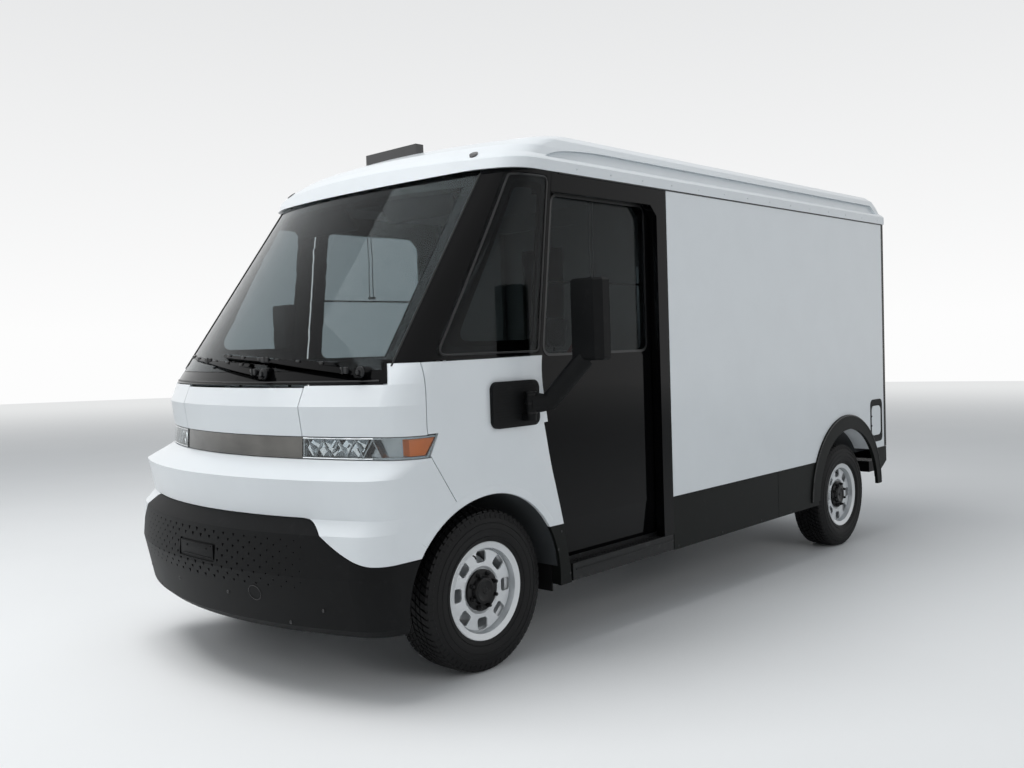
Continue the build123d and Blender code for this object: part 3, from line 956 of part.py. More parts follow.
front_unit = front_unit + across(140 - TRACK_HALF, TRACK_HALF - 140, 0, TYRE_R, 15)
front_unit = front_unit + both_sides(across(TRACK_HALF - 220, TRACK_HALF - 145, 0, TYRE_R, 34))
nodes["drive_units"] = Compound(children=[front_unit, block(-230, 230, WHEELBASE - 190, WHEELBASE + 190, 240, 540)])
rear_beam = both_sides(carrier(WHEELBASE)) + across(-KING_X, KING_X, WHEELBASE, TYRE_R, 44)
rear_beam = rear_beam - block(-230 - FIT, 230 + FIT, WHEELBASE - 200, WHEELBASE + 200, 200, 600)
SPRING_X = TRACK_HALF - 280
under_floor = Rot(RAKE, 0, 0) * block(-FAR, FAR, 0, 6000, -500, FLOOR_Z - FLOOR_THICK - FIT)
spring = Pos(SPRING_X, WHEELBASE, TYRE_R + 300) * Cylinder(50, 560) & under_floor
rear_beam = rear_beam + both_sides(spring)
nodes["rear_axle"] = rear_beam

# ---------------------------------------------------------------- placing and writing
# The origin goes to the bottom centre of the whole van, on the ground.
UPRIGHT = ("tyre_", "rim_", "knuckle_", "front_suspension", "drive_units", "rear_axle")
placed = {}
for name, shape in nodes.items():
    placed[name] = shape if name.startswith(UPRIGHT) else Rot(RAKE, 0, 0) * shape
boxes = [shape.bounding_box() for shape in placed.values()]
middle_y = (min(b.min.Y for b in boxes) + max(b.max.Y for b in boxes)) / 2
for name, shape in placed.items():
    solids = [Pos(0, -middle_y, 0) * solid for solid in shape.solids()]
    export_step(Compound(solids) if len(solids) > 1 else solids[0], f"parts/{name}.step")
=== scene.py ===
"""Electric delivery van: finishes, tyres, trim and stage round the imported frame."""

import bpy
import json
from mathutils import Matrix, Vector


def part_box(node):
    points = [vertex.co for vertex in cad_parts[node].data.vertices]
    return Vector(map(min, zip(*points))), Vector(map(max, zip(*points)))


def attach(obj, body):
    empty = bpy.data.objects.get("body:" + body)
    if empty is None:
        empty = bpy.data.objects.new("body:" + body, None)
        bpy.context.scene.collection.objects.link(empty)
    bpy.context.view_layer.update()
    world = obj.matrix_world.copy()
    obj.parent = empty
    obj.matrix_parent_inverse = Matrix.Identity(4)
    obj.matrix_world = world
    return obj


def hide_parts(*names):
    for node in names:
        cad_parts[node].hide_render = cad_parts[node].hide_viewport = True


bl_info = {
    "name": "Delivery Van Dresser",
    "version": (1, 0, 0),
    "blender": (4, 5, 0),
    "location": "View3D > Sidebar > Van",
    "description": "Dresses a walk-through delivery van with finishes, tyres, trim and a studio",
    "category": "Object",
}

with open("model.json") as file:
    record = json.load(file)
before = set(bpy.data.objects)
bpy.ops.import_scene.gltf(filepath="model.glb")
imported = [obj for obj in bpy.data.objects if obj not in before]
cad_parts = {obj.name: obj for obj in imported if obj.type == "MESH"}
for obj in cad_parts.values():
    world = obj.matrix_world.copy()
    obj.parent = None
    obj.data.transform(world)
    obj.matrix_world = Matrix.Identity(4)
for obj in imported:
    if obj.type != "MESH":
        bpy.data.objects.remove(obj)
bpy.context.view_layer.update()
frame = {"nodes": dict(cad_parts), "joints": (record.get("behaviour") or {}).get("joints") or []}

import json
from math import atan2, cos, exp, pi, radians, sin, sqrt, tau

import bmesh
import bpy
from mathutils import Matrix, Vector

MM = 0.001
NODES = frame["nodes"]
SIDES = ("left", "right")
CORNERS = ("front_left", "front_right", "rear_left", "rear_right")

# The body is drawn level, Y back from the front axle and Z up from the ground, then tilted.
SLIDE = next(j for j in frame["joints"] if j["name"] == "door_left_slide")["axis"]
RAKE = atan2(SLIDE[2], SLIDE[1])
TYRE_LOW, TYRE_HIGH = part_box("tyre_front_left")
REAR_LOW, REAR_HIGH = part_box("tyre_rear_left")
AXLE_Y = (TYRE_LOW.y + TYRE_HIGH.y) / 2
REAR_AXLE_Y = (REAR_LOW.y + REAR_HIGH.y) / 2
TYRE_RADIUS = TYRE_HIGH.z / 2
TYRE_HALF = (TYRE_HIGH.x - TYRE_LOW.x) / 2
TRACK_HALF = (TYRE_HIGH.x + TYRE_LOW.x) / 2
BODY = Matrix.Translation((0, AXLE_Y, 0)) @ Matrix.Rotation(RAKE, 4, "X") @ Matrix.Scale(MM, 4)
MIRRORED = BODY @ Matrix.Diagonal((-1, 1, 1, 1))


def level_box(node):
    """A node's box in the level body drawing, in millimetres."""
    back = BODY.inverted()
    spots = [back @ (NODES[node].matrix_world @ v.co) for v in NODES[node].data.vertices]
    return [Vector([pick(s[i] for s in spots) for i in range(3)]) for pick in (min, max)]


# Level body drawing, in millimetres
HALF_WIDTH, CARGO_REAR, ROOF_EDGE = level_box("side_wall_left")[1]
DOOR_FACE = level_box("cab_door_left")[1].x - 3
FRAME_REAR = level_box("rear_frame")[1].y
OPEN_HALF = level_box("rear_door")[1].x
STEP_TOP = 425.0
FRONT_ARC_R, CORNER_R = 2300.0, 190.0
NOSE = ((322, -885), (357, -925), (590, -975), (775, -955), (835, -895), (1012, -932), (1086, -765), (1186, -759),
        (1325, -777), (1419, -737), (2491, 50))
LAMP_LOW, LAMP_HIGH = 1086.0, 1186.0
LAMP_INNER, LAMP_END = 528.0, 850.0
SCREEN_EDGE, SCREEN_FOOT, SCREEN_HEAD = 926, 1500, 2426
HUB_PLATE_X, HUB_CAP_X = 76.0, 97.0
DAMPER_X, DAMPER_Y = 575.0, 133.0
SEAT_X = 430.0
# Backrest of the driver's seat: the foot of its middle plane, and its lean
SEAT_FOOT = Vector((SEAT_X, 1010, 870))
SEAT_LEAN = Matrix.Rotation(radians(-10), 4, "X")


def nose_plan(z, out):
    """Plan of the cab's skin at a height, a distance out: nose, arc and corner radii, and the corner's centre."""
    low, high = next((a, b) for a, b in zip(NOSE, NOSE[1:]) if z <= b[0])
    nose = low[1] + (z - low[0]) / (high[0] - low[0]) * (high[1] - low[1]) - out
    arc_r, corner_r = FRONT_ARC_R + out, CORNER_R + out
    corner_x = HALF_WIDTH + out - corner_r
    return nose, arc_r, corner_r, corner_x, nose + arc_r - sqrt((arc_r - corner_r) ** 2 - corner_x ** 2)


def skin(x, z, out=0.0):
    """Point on the cab's front skin, at a distance out from it, across x and up z."""
    nose, arc_r, corner_r, corner_x, corner_y = nose_plan(z, out)
    if abs(x) < corner_x / (arc_r - corner_r) * arc_r:
        return Vector((x, nose + arc_r - sqrt(arc_r ** 2 - x ** 2), z))
    return Vector((x, corner_y - sqrt(max(0.0, corner_r ** 2 - (abs(x) - corner_x) ** 2)), z))


def side_skin(y, z, out=0.0):
    """Point on the left side of the cab's skin, at a distance out from it, along y and up z."""
    corner_r, corner_x, corner_y = nose_plan(z, out)[2:]
    if y > corner_y:
        return Vector((HALF_WIDTH + out, y, z))
    return Vector((corner_x + sqrt(max(0.0, corner_r ** 2 - (corner_y - y) ** 2)), y, z))


# ------------------------------------------------------------------ shader nodes
def linear(code):
    """sRGB hex to a linear colour."""
    parts = [int(code[i:i + 2], 16) / 255 for i in (1, 3, 5)]
    return [p / 12.92 if p <= 0.04045 else ((p + 0.055) / 1.055) ** 2.4 for p in parts] + [1]


def wire(tree, node, inputs):
    """Set a node's inputs, by name or number, to values or links."""
    for key, value in inputs.items():
        if isinstance(value, bpy.types.NodeSocket):
            tree.links.new(value, node.inputs[key])
        else:
            node.inputs[key].default_value = value


def add(tree, kind, inputs, **settings):
    """Add a node with its inputs and its own settings."""
    node = tree.nodes.new("ShaderNode" + kind)
    for key, value in settings.items():
        setattr(node, key, value)
    wire(tree, node, inputs)
    return node.outputs


def shader(name):
    """A new material with its Principled shader, and the object's coordinates."""
    material = bpy.data.materials.new(name)
    material.use_nodes = True
    tree = material.node_tree
    return material, tree, tree.nodes["Principled BSDF"], add(tree, "TexCoord", {})["Object"]


def per_mm(size):
    """Texture scale whose cells are this many millimetres across."""
    return 1000.0 / size


def noise(tree, place, size, detail, rough=0.5):
    """Cloudy noise of a size in millimetres."""
    return add(tree, "TexNoise", {"Vector": place, "Scale": per_mm(size), "Detail": detail, "Roughness": rough})["Fac"]


def bands(tree, place, axis, size, wander=0.0):
    """Waves across an axis, a size in millimetres apart."""
    return add(tree, "TexWave", {"Vector": place, "Scale": per_mm(size) / 6.3, "Distortion": wander},
               wave_type="BANDS", bands_direction=axis)["Fac"]


def fade(tree, value, start, end, low, high, **settings):
    """Map a value from start..end to low..high."""
    return add(tree, "MapRange", {"Value": value, "From Min": start, "From Max": end, "To Min": low, "To Max": high},
               **settings)["Result"]


def ramp(tree, value, start, end, low, high):
    """Colour from low to high as a value goes from start to end."""
    made = add(tree, "ValToRGB", {"Fac": value})["Color"]
    for stop, spot, colour in zip(made.node.color_ramp.elements, (start, end), (low, high)):
        stop.position, stop.color = spot, colour
    return made


def compute(tree, operation, one, two):
    """Result of a maths node."""
    return add(tree, "Math", {0: one, 1: two}, operation=operation)[0]


def mix(tree, factor, one, two, how="MIX"):
    """Blend of two colours."""
    return add(tree, "Mix", {0: factor, 6: one, 7: two}, data_type="RGBA", blend_type=how)[2]


def bump(tree, height, strength, depth):
    """Surface direction over a height, with its depth in millimetres."""
    return add(tree, "Bump", {"Height": height, "Strength": strength, "Distance": depth * MM})["Normal"]


# ------------------------------------------------------------------ materials
def finish(name, colour, roughness, grain_mm, grain, mottle, depth=0.2, metallic=0.0, lacquer=0.0, specular=0.5,
           sheen=0.0, cells=False, worn=0.0, uneven=0.05):
    """A surface with clouded colour, uneven gloss and a bump of the given grain."""
    material, tree, bsdf, place = shader(name)
    cloud = noise(tree, place, 260, 5.0)
    low, high = ([min(1, c * shift) for c in linear(colour)[:3]] + [1] for shift in (1 - mottle, 1 + mottle))
    shade = ramp(tree, cloud, 0.35, 0.65, low, high)
    if worn:
        # patches rubbed by boots, hands and cloths go paler
        rub = fade(tree, noise(tree, place, 45, 6.0, 0.65), 0.58, 0.74, 0.0, worn)
        shade = mix(tree, rub, shade, (0.1, 0.1, 0.1, 1), "ADD")
    if cells:
        fine = add(tree, "TexVoronoi", {"Vector": place, "Scale": per_mm(grain_mm)})["Distance"]
    else:
        fine = noise(tree, place, grain_mm, 3.0)
    wire(tree, bsdf, {
        "Base Color": shade, "Metallic": metallic, "Specular IOR Level": specular, "Sheen Weight": sheen,
        "Roughness": fade(tree, cloud, 0.0, 1.0, max(0.02, roughness - uneven), roughness + uneven),
        "Normal": bump(tree, fine, grain, depth), "Coat Weight": lacquer, "Coat Roughness": 0.04})
    return material


def glass(name, tint, index, ripple_mm=900, ripple=0.004):
    """Clear or tinted glazing, very slightly rippled."""
    material, tree, bsdf, place = shader(name)
    wire(tree, bsdf, {"Base Color": linear(tint), "Transmission Weight": 1.0, "Roughness": 0.0, "IOR": index,
                      "Normal": bump(tree, noise(tree, place, ripple_mm, 1.0), ripple, 1.0)})
    return material


def woven(name, colour, thread_mm):
    """Plain weave of thick yarn, with a soft sheen and faded patches."""
    material, tree, bsdf, place = shader(name)
    weave = compute(tree, "MULTIPLY", *(bands(tree, place, axis, thread_mm, 1.2) for axis in "XZ"))
    yarn = mix(tree, weave, linear(colour), [c * 2.1 for c in linear(colour)[:3]] + [1])
    faded = mix(tree, noise(tree, place, 180, 4.0), yarn, (0.7, 0.72, 0.75, 1), "MULTIPLY")
    wire(tree, bsdf, {"Base Color": faded, "Normal": bump(tree, weave, 0.6, 0.8), "Roughness": 0.9,
                      "Sheen Weight": 0.35})
    return material


def two_lenses(name, lit, smoked, level):
    """Moulded lenses: coloured below a height in the frame, smoked above it."""
    material, tree, bsdf, place = shader(name)
    high = compute(tree, "GREATER_THAN", add(tree, "SeparateXYZ", {"Vector": place})["Z"], level)
    wire(tree, bsdf, {"Base Color": mix(tree, high, linear(lit), linear(smoked)), "Roughness": 0.14,
                      "Normal": bump(tree, bands(tree, place, "X", 9), 0.25, 0.8), "Coat Weight": 0.8})
    return material


# Sprayed two-pack enamel: hard, clean and glossy, with orange peel that only softens reflections.
PAINT = finish("white_enamel_on_steel", "#DCE1E4", 0.3, 30, 0.04, 0.012, depth=0.1, lacquer=0.35)
# Polished ABS cappings and door skins: near black with wet-looking reflections.
GLAZE_BLACK = finish("gloss_black_abs", "#060607", 0.07, 60, 0.03, 0.1, depth=0.3, specular=0.14, uneven=0.03)
# Injection-moulded polypropylene with a leathery grain: dull, slightly dusty bumper black.
MOULDED = finish("grained_black_polypropylene", "#0E0F10", 0.5, 6, 0.25, 0.18, depth=0.3, specular=0.13, cells=True,
                 worn=0.04)
# The same plastic in the greyer batch of the side cladding.
CLAD = finish("grained_grey_polypropylene", "#131514", 0.48, 6, 0.22, 0.15, depth=0.3, specular=0.12, cells=True,
              worn=0.04)
# Smoked polycarbonate over a metallised plate: a grey mirror with soft streaks.
SMOKED = finish("smoked_grey_polycarbonate", "#5C5B58", 0.16, 90, 0.1, 0.35, depth=1.5, metallic=0.75, lacquer=0.6)
# Metallised plastic behind the lamps: dull silver with dark hollows.
LAMP_SHELL = finish("metallised_lamp_shell", "#8F9497", 0.18, 12, 0.2, 0.3, metallic=0.9)
# Reflectors and vanes: crisp facets that pick up the floor and the sky.
CHROME = finish("vacuum_metallised_reflector", "#E3E6E8", 0.06, 60, 0.03, 0.03, metallic=1.0)
# Hard-coated lamp cover: clear enough to show the facets, with one sharp reflection.
LENS = glass("clear_moulded_polycarbonate", "#EEF2F3", 1.35, ripple_mm=200, ripple=0.01)
# Grey-green laminated glass with a low sheen: the cab behind it reads dark.
WINDOW = glass("tinted_laminated_glass", "#A3ACAF", 1.2)
# Acrylic with prisms inside: deep red that sparkles in cells.
RED_LENS = finish("red_moulded_acrylic", "#7C0A0C", 0.12, 8, 0.25, 0.1, depth=0.6, lacquer=1.0, cells=True)
# The same prisms in orange: warm and bright even unlit.
AMBER = finish("amber_moulded_acrylic", "#D96C0E", 0.15, 8, 0.25, 0.1, depth=0.6, lacquer=1.0, cells=True)
# Ribbed marker lenses: orange low down on the sides, smoked up on the roof.
MARKERS = two_lenses("amber_and_smoked_acrylic", "#D96C0E", "#17181A", 1.6)
# Carbon-black tyre compound: matt, a little brown with road dust.
RUBBER = finish("tyre_rubber", "#0F0F10", 0.6, 5, 0.3, 0.25, depth=0.3, specular=0.25)
# Pressed steel wheel under silver enamel: soft metallic white.
WHEEL = finish("silver_enamelled_steel", "#D5D8DA", 0.3, 5, 0.06, 0.03, metallic=0.3, lacquer=0.4)
# Satin powder coat on chassis steel, slightly pebbled.
FRAME_BLACK = finish("satin_black_powder_coat", "#141517", 0.42, 3, 0.2, 0.15, specular=0.4)
# Bare castings: rough brown-grey iron with dull highlights.
IRON = finish("cast_iron_bare", "#4A4744", 0.6, 3, 0.5, 0.25, depth=0.4, metallic=0.6)
# Motor housings: pale, sandy-skinned aluminium.
ALLOY = finish("sand_cast_aluminium", "#8C8F92", 0.42, 2, 0.3, 0.08, metallic=0.9)
# Battery case: flat grey sheet, smoother than the castings beside it.
CASE = finish("pressed_aluminium_case", "#5E6164", 0.4, 3, 0.15, 0.1, metallic=0.8)
# Ribbed rubber and painted step edges: scuffed pale where boots land.
STEP = finish("ribbed_step_rubber", "#131415", 0.5, 3, 0.4, 0.2, depth=0.4, specular=0.3, worn=0.3)
# Rolled-on floor coating: gritty grey with trodden patches.
FLOOR_COAT = finish("grey_floor_coating", "#3B3E40", 0.55, 4, 0.5, 0.15, depth=0.6, worn=0.2)
# Inner sheet panels: plain mid grey that catches the light from the doors.
PANEL_GREY = finish("pale_grey_enamel", "#6E716F", 0.4, 4, 0.1, 0.05)
# Foam-backed dashboard skin: soft, dark and free of glare.
DASH = finish("soft_touch_dash_plastic", "#191B1E", 0.6, 4, 0.3, 0.1, depth=0.3, specular=0.3, cells=True)
# Coarse charcoal seat cloth: threads show close up, a soft bloom far off.
CLOTH = woven("woven_seat_cloth", "#191B1F", 7.0)
# Tight red webbing: the one warm line in the dark cab.
BELT_WEB = woven("woven_red_belt_webbing", "#5A1512", 5.0)
# Mirror glass: a clean picture of the floor and the sky.
MIRROR = finish("silvered_mirror_glass", "#DCE2E4", 0.02, 200, 0.01, 0.01, metallic=1.0, uneven=0.01)
# Ethylene rubber extrusions: soft black with a faint bloom.
SEAL = finish("extruded_seal_rubber", "#101112", 0.35, 3, 0.15, 0.15, specular=0.6)
# Plated bars and latches: dull silver with a fine grain.
ZINC = finish("zinc_plated_steel", "#9B9D9E", 0.32, 2, 0.1, 0.1, metallic=1.0)
# Enamelled hub cover: satin black, rubbed round the nuts.
HUB_BLACK = finish("satin_black_hub_enamel", "#0B0B0C", 0.3, 3, 0.15, 0.2, specular=0.25, worn=0.2)
# Blank plate sheeting: flat white with tiny bright cells.
PLATE = finish("white_reflective_sheet", "#D9DCDD", 0.35, 3, 0.15, 0.02, cells=True)
# Ceramic border fired onto the glass: flat black that hides the glue line.
FRIT = finish("fired_ceramic_border", "#050506", 0.6, 4, 0.1, 0.1, specular=0.1)
# Needled felt over the cab's ceiling: dark, fibrous and matt.
FELT = finish("needled_ceiling_felt", "#15181B", 0.95, 5, 0.6, 0.25, depth=0.8, specular=0.1, sheen=0.3)
# Switched-off display: blue-black and mirror smooth.
SCREEN = finish("dark_display_glass", "#0A0D12", 0.05, 200, 0.01, 0.1, lacquer=1.0)

FINISHES = {node: material for material, nodes in (
    (PAINT, "front_fascia corner_panels fender_left fender_right roof side_wall_left side_wall_right charge_flap"
            " rear_door hood"),
    (GLAZE_BLACK, "cab_frame door_surrounds cab_door_left cab_door_right rear_frame wipers"),
    (MOULDED, "front_bumper charge_inlet rear_bumper mirror_mounts mirror_left mirror_right"),
    (WINDOW, "windshield quarter_glass door_glass_left door_glass_right"),
    (CLAD, "cladding"), (STEP, "sills"), (FLOOR_COAT, "cargo_floor cab_floor firewall"),
    (PANEL_GREY, "bulkhead bulkhead_door"), (RED_LENS, "tail_lamps"), (CASE, "battery_pack"),
    (FRAME_BLACK, "chassis_frame seat_base front_suspension rear_axle"), (LAMP_SHELL, "headlamps"),
    (LENS, "headlamp_lenses"), (SMOKED, "light_bar"), (DASH, "dashboard steering_wheel"), (CLOTH, "driver_seat"),
    (MARKERS, "marker_lamps"), (RUBBER, "mud_flaps " + " ".join("tyre_" + corner for corner in CORNERS)),
    (WHEEL, " ".join("rim_" + corner for corner in CORNERS)), (ALLOY, "drive_units"),
    (IRON, "knuckle_left knuckle_right")) for node in nodes.split()}


def coat(obj, material):
    """Give an object one material."""
    obj.data.materials.clear()
    obj.data.materials.append(material)


# ------------------------------------------------------------------ mesh helpers
def piece(name, bm, material, body="van", place=BODY, smooth=40):
    """Turn a bmesh into a finished piece that rides on a body."""
    bmesh.ops.recalc_face_normals(bm, faces=bm.faces)
    bm.transform(place)
    if place.determinant() < 0:
        bmesh.ops.reverse_faces(bm, faces=bm.faces)
    mesh = bpy.data.meshes.new(name)
    bm.to_mesh(mesh)
    bm.free()
    if smooth:
        mesh.shade_smooth()
        mesh.set_sharp_from_angle(angle=radians(smooth))
    obj = bpy.data.objects.new(name, mesh)
    bpy.context.scene.collection.objects.link(obj)
    coat(obj, material)
    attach(obj, body)
    return obj


def wheel_place(corner):
    """Millimetres about a wheel's centre, with +X to its outer side, as a matrix into the frame."""
    side = 1 if corner.endswith("left") else -1
    along = AXLE_Y if corner.startswith("front") else REAR_AXLE_Y
    turn = Matrix.Rotation(0 if side > 0 else pi, 4, "Z")
    return Matrix.Translation((side * TRACK_HALF, along, TYRE_RADIUS)) @ turn @ Matrix.Scale(MM, 4)


def facing(at, aim):
    """Place at a point, with its X turned to aim."""
    return Matrix.Translation(at) @ Vector((1, 0, 0)).rotation_difference(Vector(aim)).to_matrix().to_4x4()


def spun(x, radius, angle):
    """Point at a radius and angle round the X axis."""
    return x, radius * cos(angle), radius * sin(angle)


def run(start, end, steps, ends=True):
    """Points along a straight line, with or without its two ends."""
    start, end = Vector(start), Vector(end)
    return [start.lerp(end, k / steps) for k in range(0 if ends else 1, steps + 1 if ends else steps)]


def bridge(bm, rows, ring=True, wrap=False, caps=False):
    """Join rows of points by faces; ring closes each row, wrap joins last to first, caps fills the two ends."""
    rows = [[bm.verts.new(point) for point in row] for row in rows]
    for one, two in zip(rows, rows[1:] + rows[:1] * wrap):
        for j in range(len(one) if ring else len(one) - 1):
            k = (j + 1) % len(one)
            bm.faces.new((one[j], one[k], two[k], two[j]))
    if caps:
        bm.faces.new(rows[0])
        bm.faces.new(rows[-1])
    return rows


def lathe(bm, profile, segments, place=Matrix.Identity(4), closed=False):
    """Revolve a profile of (x, radius) about X."""
    rows = bridge(bm, [[place @ Vector(spun(x, r, tau * i / segments)) for x, r in profile] for i in range(segments)],
                  ring=closed, wrap=True)
    if not closed:
        bm.faces.new([row[0] for row in rows])
        bm.faces.new([row[-1] for row in rows])


def slab(bm, middle, size, round_by=2.0, turn=Matrix.Identity(4), segments=2):
    """A box with rounded edges, centred on a point."""
    made = bmesh.ops.create_cube(bm, size=1.0)["verts"]
    place = Matrix.Translation(middle) @ turn @ Matrix.Diagonal((*size, 1.0))
    bmesh.ops.transform(bm, matrix=place, verts=made)
    edges = list({e for v in made for e in v.link_edges})
    bmesh.ops.bevel(bm, geom=edges, offset=round_by, segments=segments, affect="EDGES", profile=0.6)


def tube(bm, points, radius, sides=10, closed=False, flat=1.0):
    """Sweep a round or flattened section along a line of points."""
    points = [Vector(p) for p in points]
    count = len(points)
    up = Vector((0.02, 0.03, 1)).normalized()
    rings = []
    for i, point in enumerate(points):
        before = points[i - 1] if i or closed else point
        after = points[(i + 1) % count] if i < count - 1 or closed else point
        ahead = (after - before).normalized()
        across = ahead.cross(up)
        if across.length < 0.2:
            across = ahead.cross(Vector((1, 0, 0)))
        across.normalize()
        lift = across.cross(ahead)
        turns = [tau * k / sides for k in range(sides)]
        rings.append([point + across * cos(a) * radius * flat + lift * sin(a) * radius for a in turns])
    bridge(bm, rings, wrap=closed, caps=not closed)


def rounded_loop(corners, radius, steps=8):
    """Points round a polygon whose corners are rounded, given and returned as 2D pairs."""
    out = []
    for i, corner in enumerate(corners):
        here = Vector(corner)
        back = (Vector(corners[i - 1]) - here).normalized()
        on = (Vector(corners[(i + 1) % len(corners)]) - here).normalized()
        half = back.angle(on) / 2
        reach = radius / sin(half) * cos(half)
        start, end = here + back * reach, here + on * reach
        for k in range(steps + 1):
            t = k / steps
            out.append(tuple(start * (1 - t) ** 2 + here * 2 * t * (1 - t) + end * t * t))
    return out


def strip(bm, loop, x0, x1, wide):
    """A flat rubber strip in the side plane between a loop and the same loop grown by wide."""
    middle = sum((Vector(p) for p in loop), Vector((0, 0))) / len(loop)
    rows = []
    for i, p in enumerate(loop):
        here = Vector(p)
        along = (Vector(loop[(i + 1) % len(loop)]) - Vector(loop[i - 1])).normalized()
        out = Vector((along.y, -along.x))
        far = here + out * (wide if out.dot(here - middle) >= 0 else -wide)
        rows.append([(x, q.x, q.y) for x, q in ((x0, here), (x1, here), (x1, far), (x0, far))])
    bridge(bm, rows, wrap=True)


def screw(bm, at, aim, size=6.0):
    """A round recessed screw head at a place, facing along aim."""
    lathe(bm, [(-1, size), (1.2, size), (2.2, size * 0.8), (2.2, size * 0.5), (0.6, size * 0.4), (0.6, size * 0.1)], 14,
          facing(at, aim))


def mirrored():
    """The two sides' names with the placements of the left drawing and its mirror image."""
    return zip(SIDES, (BODY, MIRRORED))


# ------------------------------------------------------------------ settings
class VanSizes(bpy.types.PropertyGroup):
    tread_depth: bpy.props.FloatProperty(
        name="Tread depth", description="Depth of the tyre's grooves", default=9 * MM, subtype="DISTANCE")
    tread_blocks: bpy.props.IntProperty(
        name="Tread blocks", description="Blocks round one row of the tread", default=66)
    wheel_nuts: bpy.props.IntProperty(name="Wheel nuts", description="Nuts round one hub", default=8)
    seat_swell: bpy.props.FloatProperty(
        name="Seat swell", description="How far the seat's cloth may puff out", default=14 * MM, subtype="DISTANCE")
    key_power: bpy.props.FloatProperty(name="Key power", description="Watts of the largest lamp", default=740.0)
    sky_light: bpy.props.FloatProperty(
        name="Sky light", description="Strength of the light from all round", default=0.42)
    lens_mm: bpy.props.FloatProperty(name="Lens", description="Focal length of the camera", default=34.2)
    turn: bpy.props.FloatProperty(
        name="Camera turn", description="Heading of the camera", default=radians(43.453), subtype="ANGLE")
    dip: bpy.props.FloatProperty(
        name="Camera dip", description="How far the camera looks down", default=radians(1.751), subtype="ANGLE")
    lean: bpy.props.FloatProperty(
        name="Camera lean", description="Roll of the camera", default=radians(-1.293), subtype="ANGLE")


class VAN_OT_finishes(bpy.types.Operator):
    """Give every carried-over node its finish"""
    bl_idname = "van.finishes"
    bl_label = "Finishes"

    def execute(self, context):
        for name, obj in NODES.items():
            coat(obj, FINISHES[name])
        return {"FINISHED"}


# ------------------------------------------------------------------ wheels
class VAN_OT_tyres(bpy.types.Operator):
    """Tyres with their tread, shoulder lugs and sidewall ribs"""
    bl_idname = "van.tyres"
    bl_label = "Tyres"

    def execute(self, context):
        sizes = context.scene.van_sizes
        outer, half = TYRE_RADIUS / MM, TYRE_HALF / MM
        base = outer - sizes.tread_depth / MM
        flank = [(-95, 216.6), (-103.5, 228), (-105, 241), (-109, 250), (-116, 268), (-half + 1, 292), (-half + 1, 312),
                 (-117, 334), (-112, 352), (-107, 364), (-104, base - 6), (-92, base - 1), (-60, base)]
        carcass = flank + [(0, base)] + [(-x, r) for x, r in reversed(flank)]
        carcass += [(86, 226), (100, 300), (84, base - 14), (-84, base - 14), (-100, 300), (-86, 226)]
        edge = 99
        rows = ((-edge, -66, 0.0), (-61, -36, 0.5), (-31, -4, 0.0), (4, 31, 0.5), (36, 61, 0.0), (66, edge, 0.5))
        pitch = tau / sizes.tread_blocks
        for corner in CORNERS:
            bm = bmesh.new()
            lathe(bm, carcass, 72, closed=True)
            for x0, x1, shift in rows:
                skew = 0.22 * pitch * (1 if x0 + x1 > 0 else -1)
                for i in range(sizes.tread_blocks):
                    foot, top = [], []
                    for ahead, x, lean, inset in ((1, x0, -skew, 1.2), (1, x1, skew, -1.2), (-1, x1, skew, -1.2),
                                                  (-1, x0, -skew, 1.2)):
                        a = (i + shift + 0.5 - 0.41 * ahead) * pitch + lean
                        drop = 5.4 if abs(x) == edge else 0.4
                        foot.append(spun(x, base - 2, a))
                        top.append(spun(x + inset, outer - drop, a + 0.05 * pitch * ahead))
                    bm.faces.new(bridge(bm, (foot, top))[1])
            for side in (-1, 1):
                lug = ((edge, outer - 9), (106, 373), (113.5, 354), (110, 350), (101, 366))
                for i in range(sizes.tread_blocks):
                    bridge(bm, [[spun(side * x, r, (i + 0.25 * side + wide) * pitch) for x, r in lug]
                                for wide in (-0.3, 0.3)], caps=True)
                for rib_r, foot_x, top_x in ((262, 113.5, 117.1), (300, half - 2.4, half + 1), (330, 116.6, 120.2)):
                    lathe(bm, [(side * foot_x, rib_r - 3), (side * top_x, rib_r - 1), (side * top_x, rib_r + 1),
                               (side * foot_x, rib_r + 3)], 72, closed=True)
            tyre = piece("treaded_tyre_" + corner, bm, RUBBER, "wheel_" + corner,
                         wheel_place(corner), 50)
            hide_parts("tyre_" + corner)
        return {"FINISHED"}


class VAN_OT_hubs(bpy.types.Operator):
    """Black hub covers, wheel nuts and tyre valves"""
    bl_idname = "van.hubs"
    bl_label = "Hubs"

    def execute(self, context):
        nuts = context.scene.van_sizes.wheel_nuts
        plate, cap = HUB_PLATE_X, HUB_CAP_X
        cover = [(plate - 12, 101), (plate + 1, 101), (plate + 3, 98), (plate + 3, 70), (cap - 6, 66), (cap, 62.5),
                 (cap + 2, 50), (cap - 1, 44), (cap - 1, 16), (cap + 3, 12), (cap + 3, 4)]
        nut = [(plate, 12), (plate + 12, 12), (plate + 15, 9.5), (plate + 25, 8.5), (plate + 28, 5)]
        stem = Matrix.Rotation(radians(22), 4, "X")
        for corner in CORNERS:
            body, place = "wheel_" + corner, wheel_place(corner)
            bm = bmesh.new()
            lathe(bm, cover, 48)
            for i in range(nuts):
                lathe(bm, nut, 6, Matrix.Translation(spun(0, 84, tau * (i + 0.5) / nuts)))
            piece("hub_cover_" + corner, bm, HUB_BLACK, body, place, 35)
            bm = bmesh.new()
            tube(bm, [stem @ Vector(p) for p in ((92, 0, 196), (104, 0, 190), (106, 0, 178))], 4, 8)
            piece("tyre_valve_" + corner, bm, RUBBER, body, place)
        return {"FINISHED"}


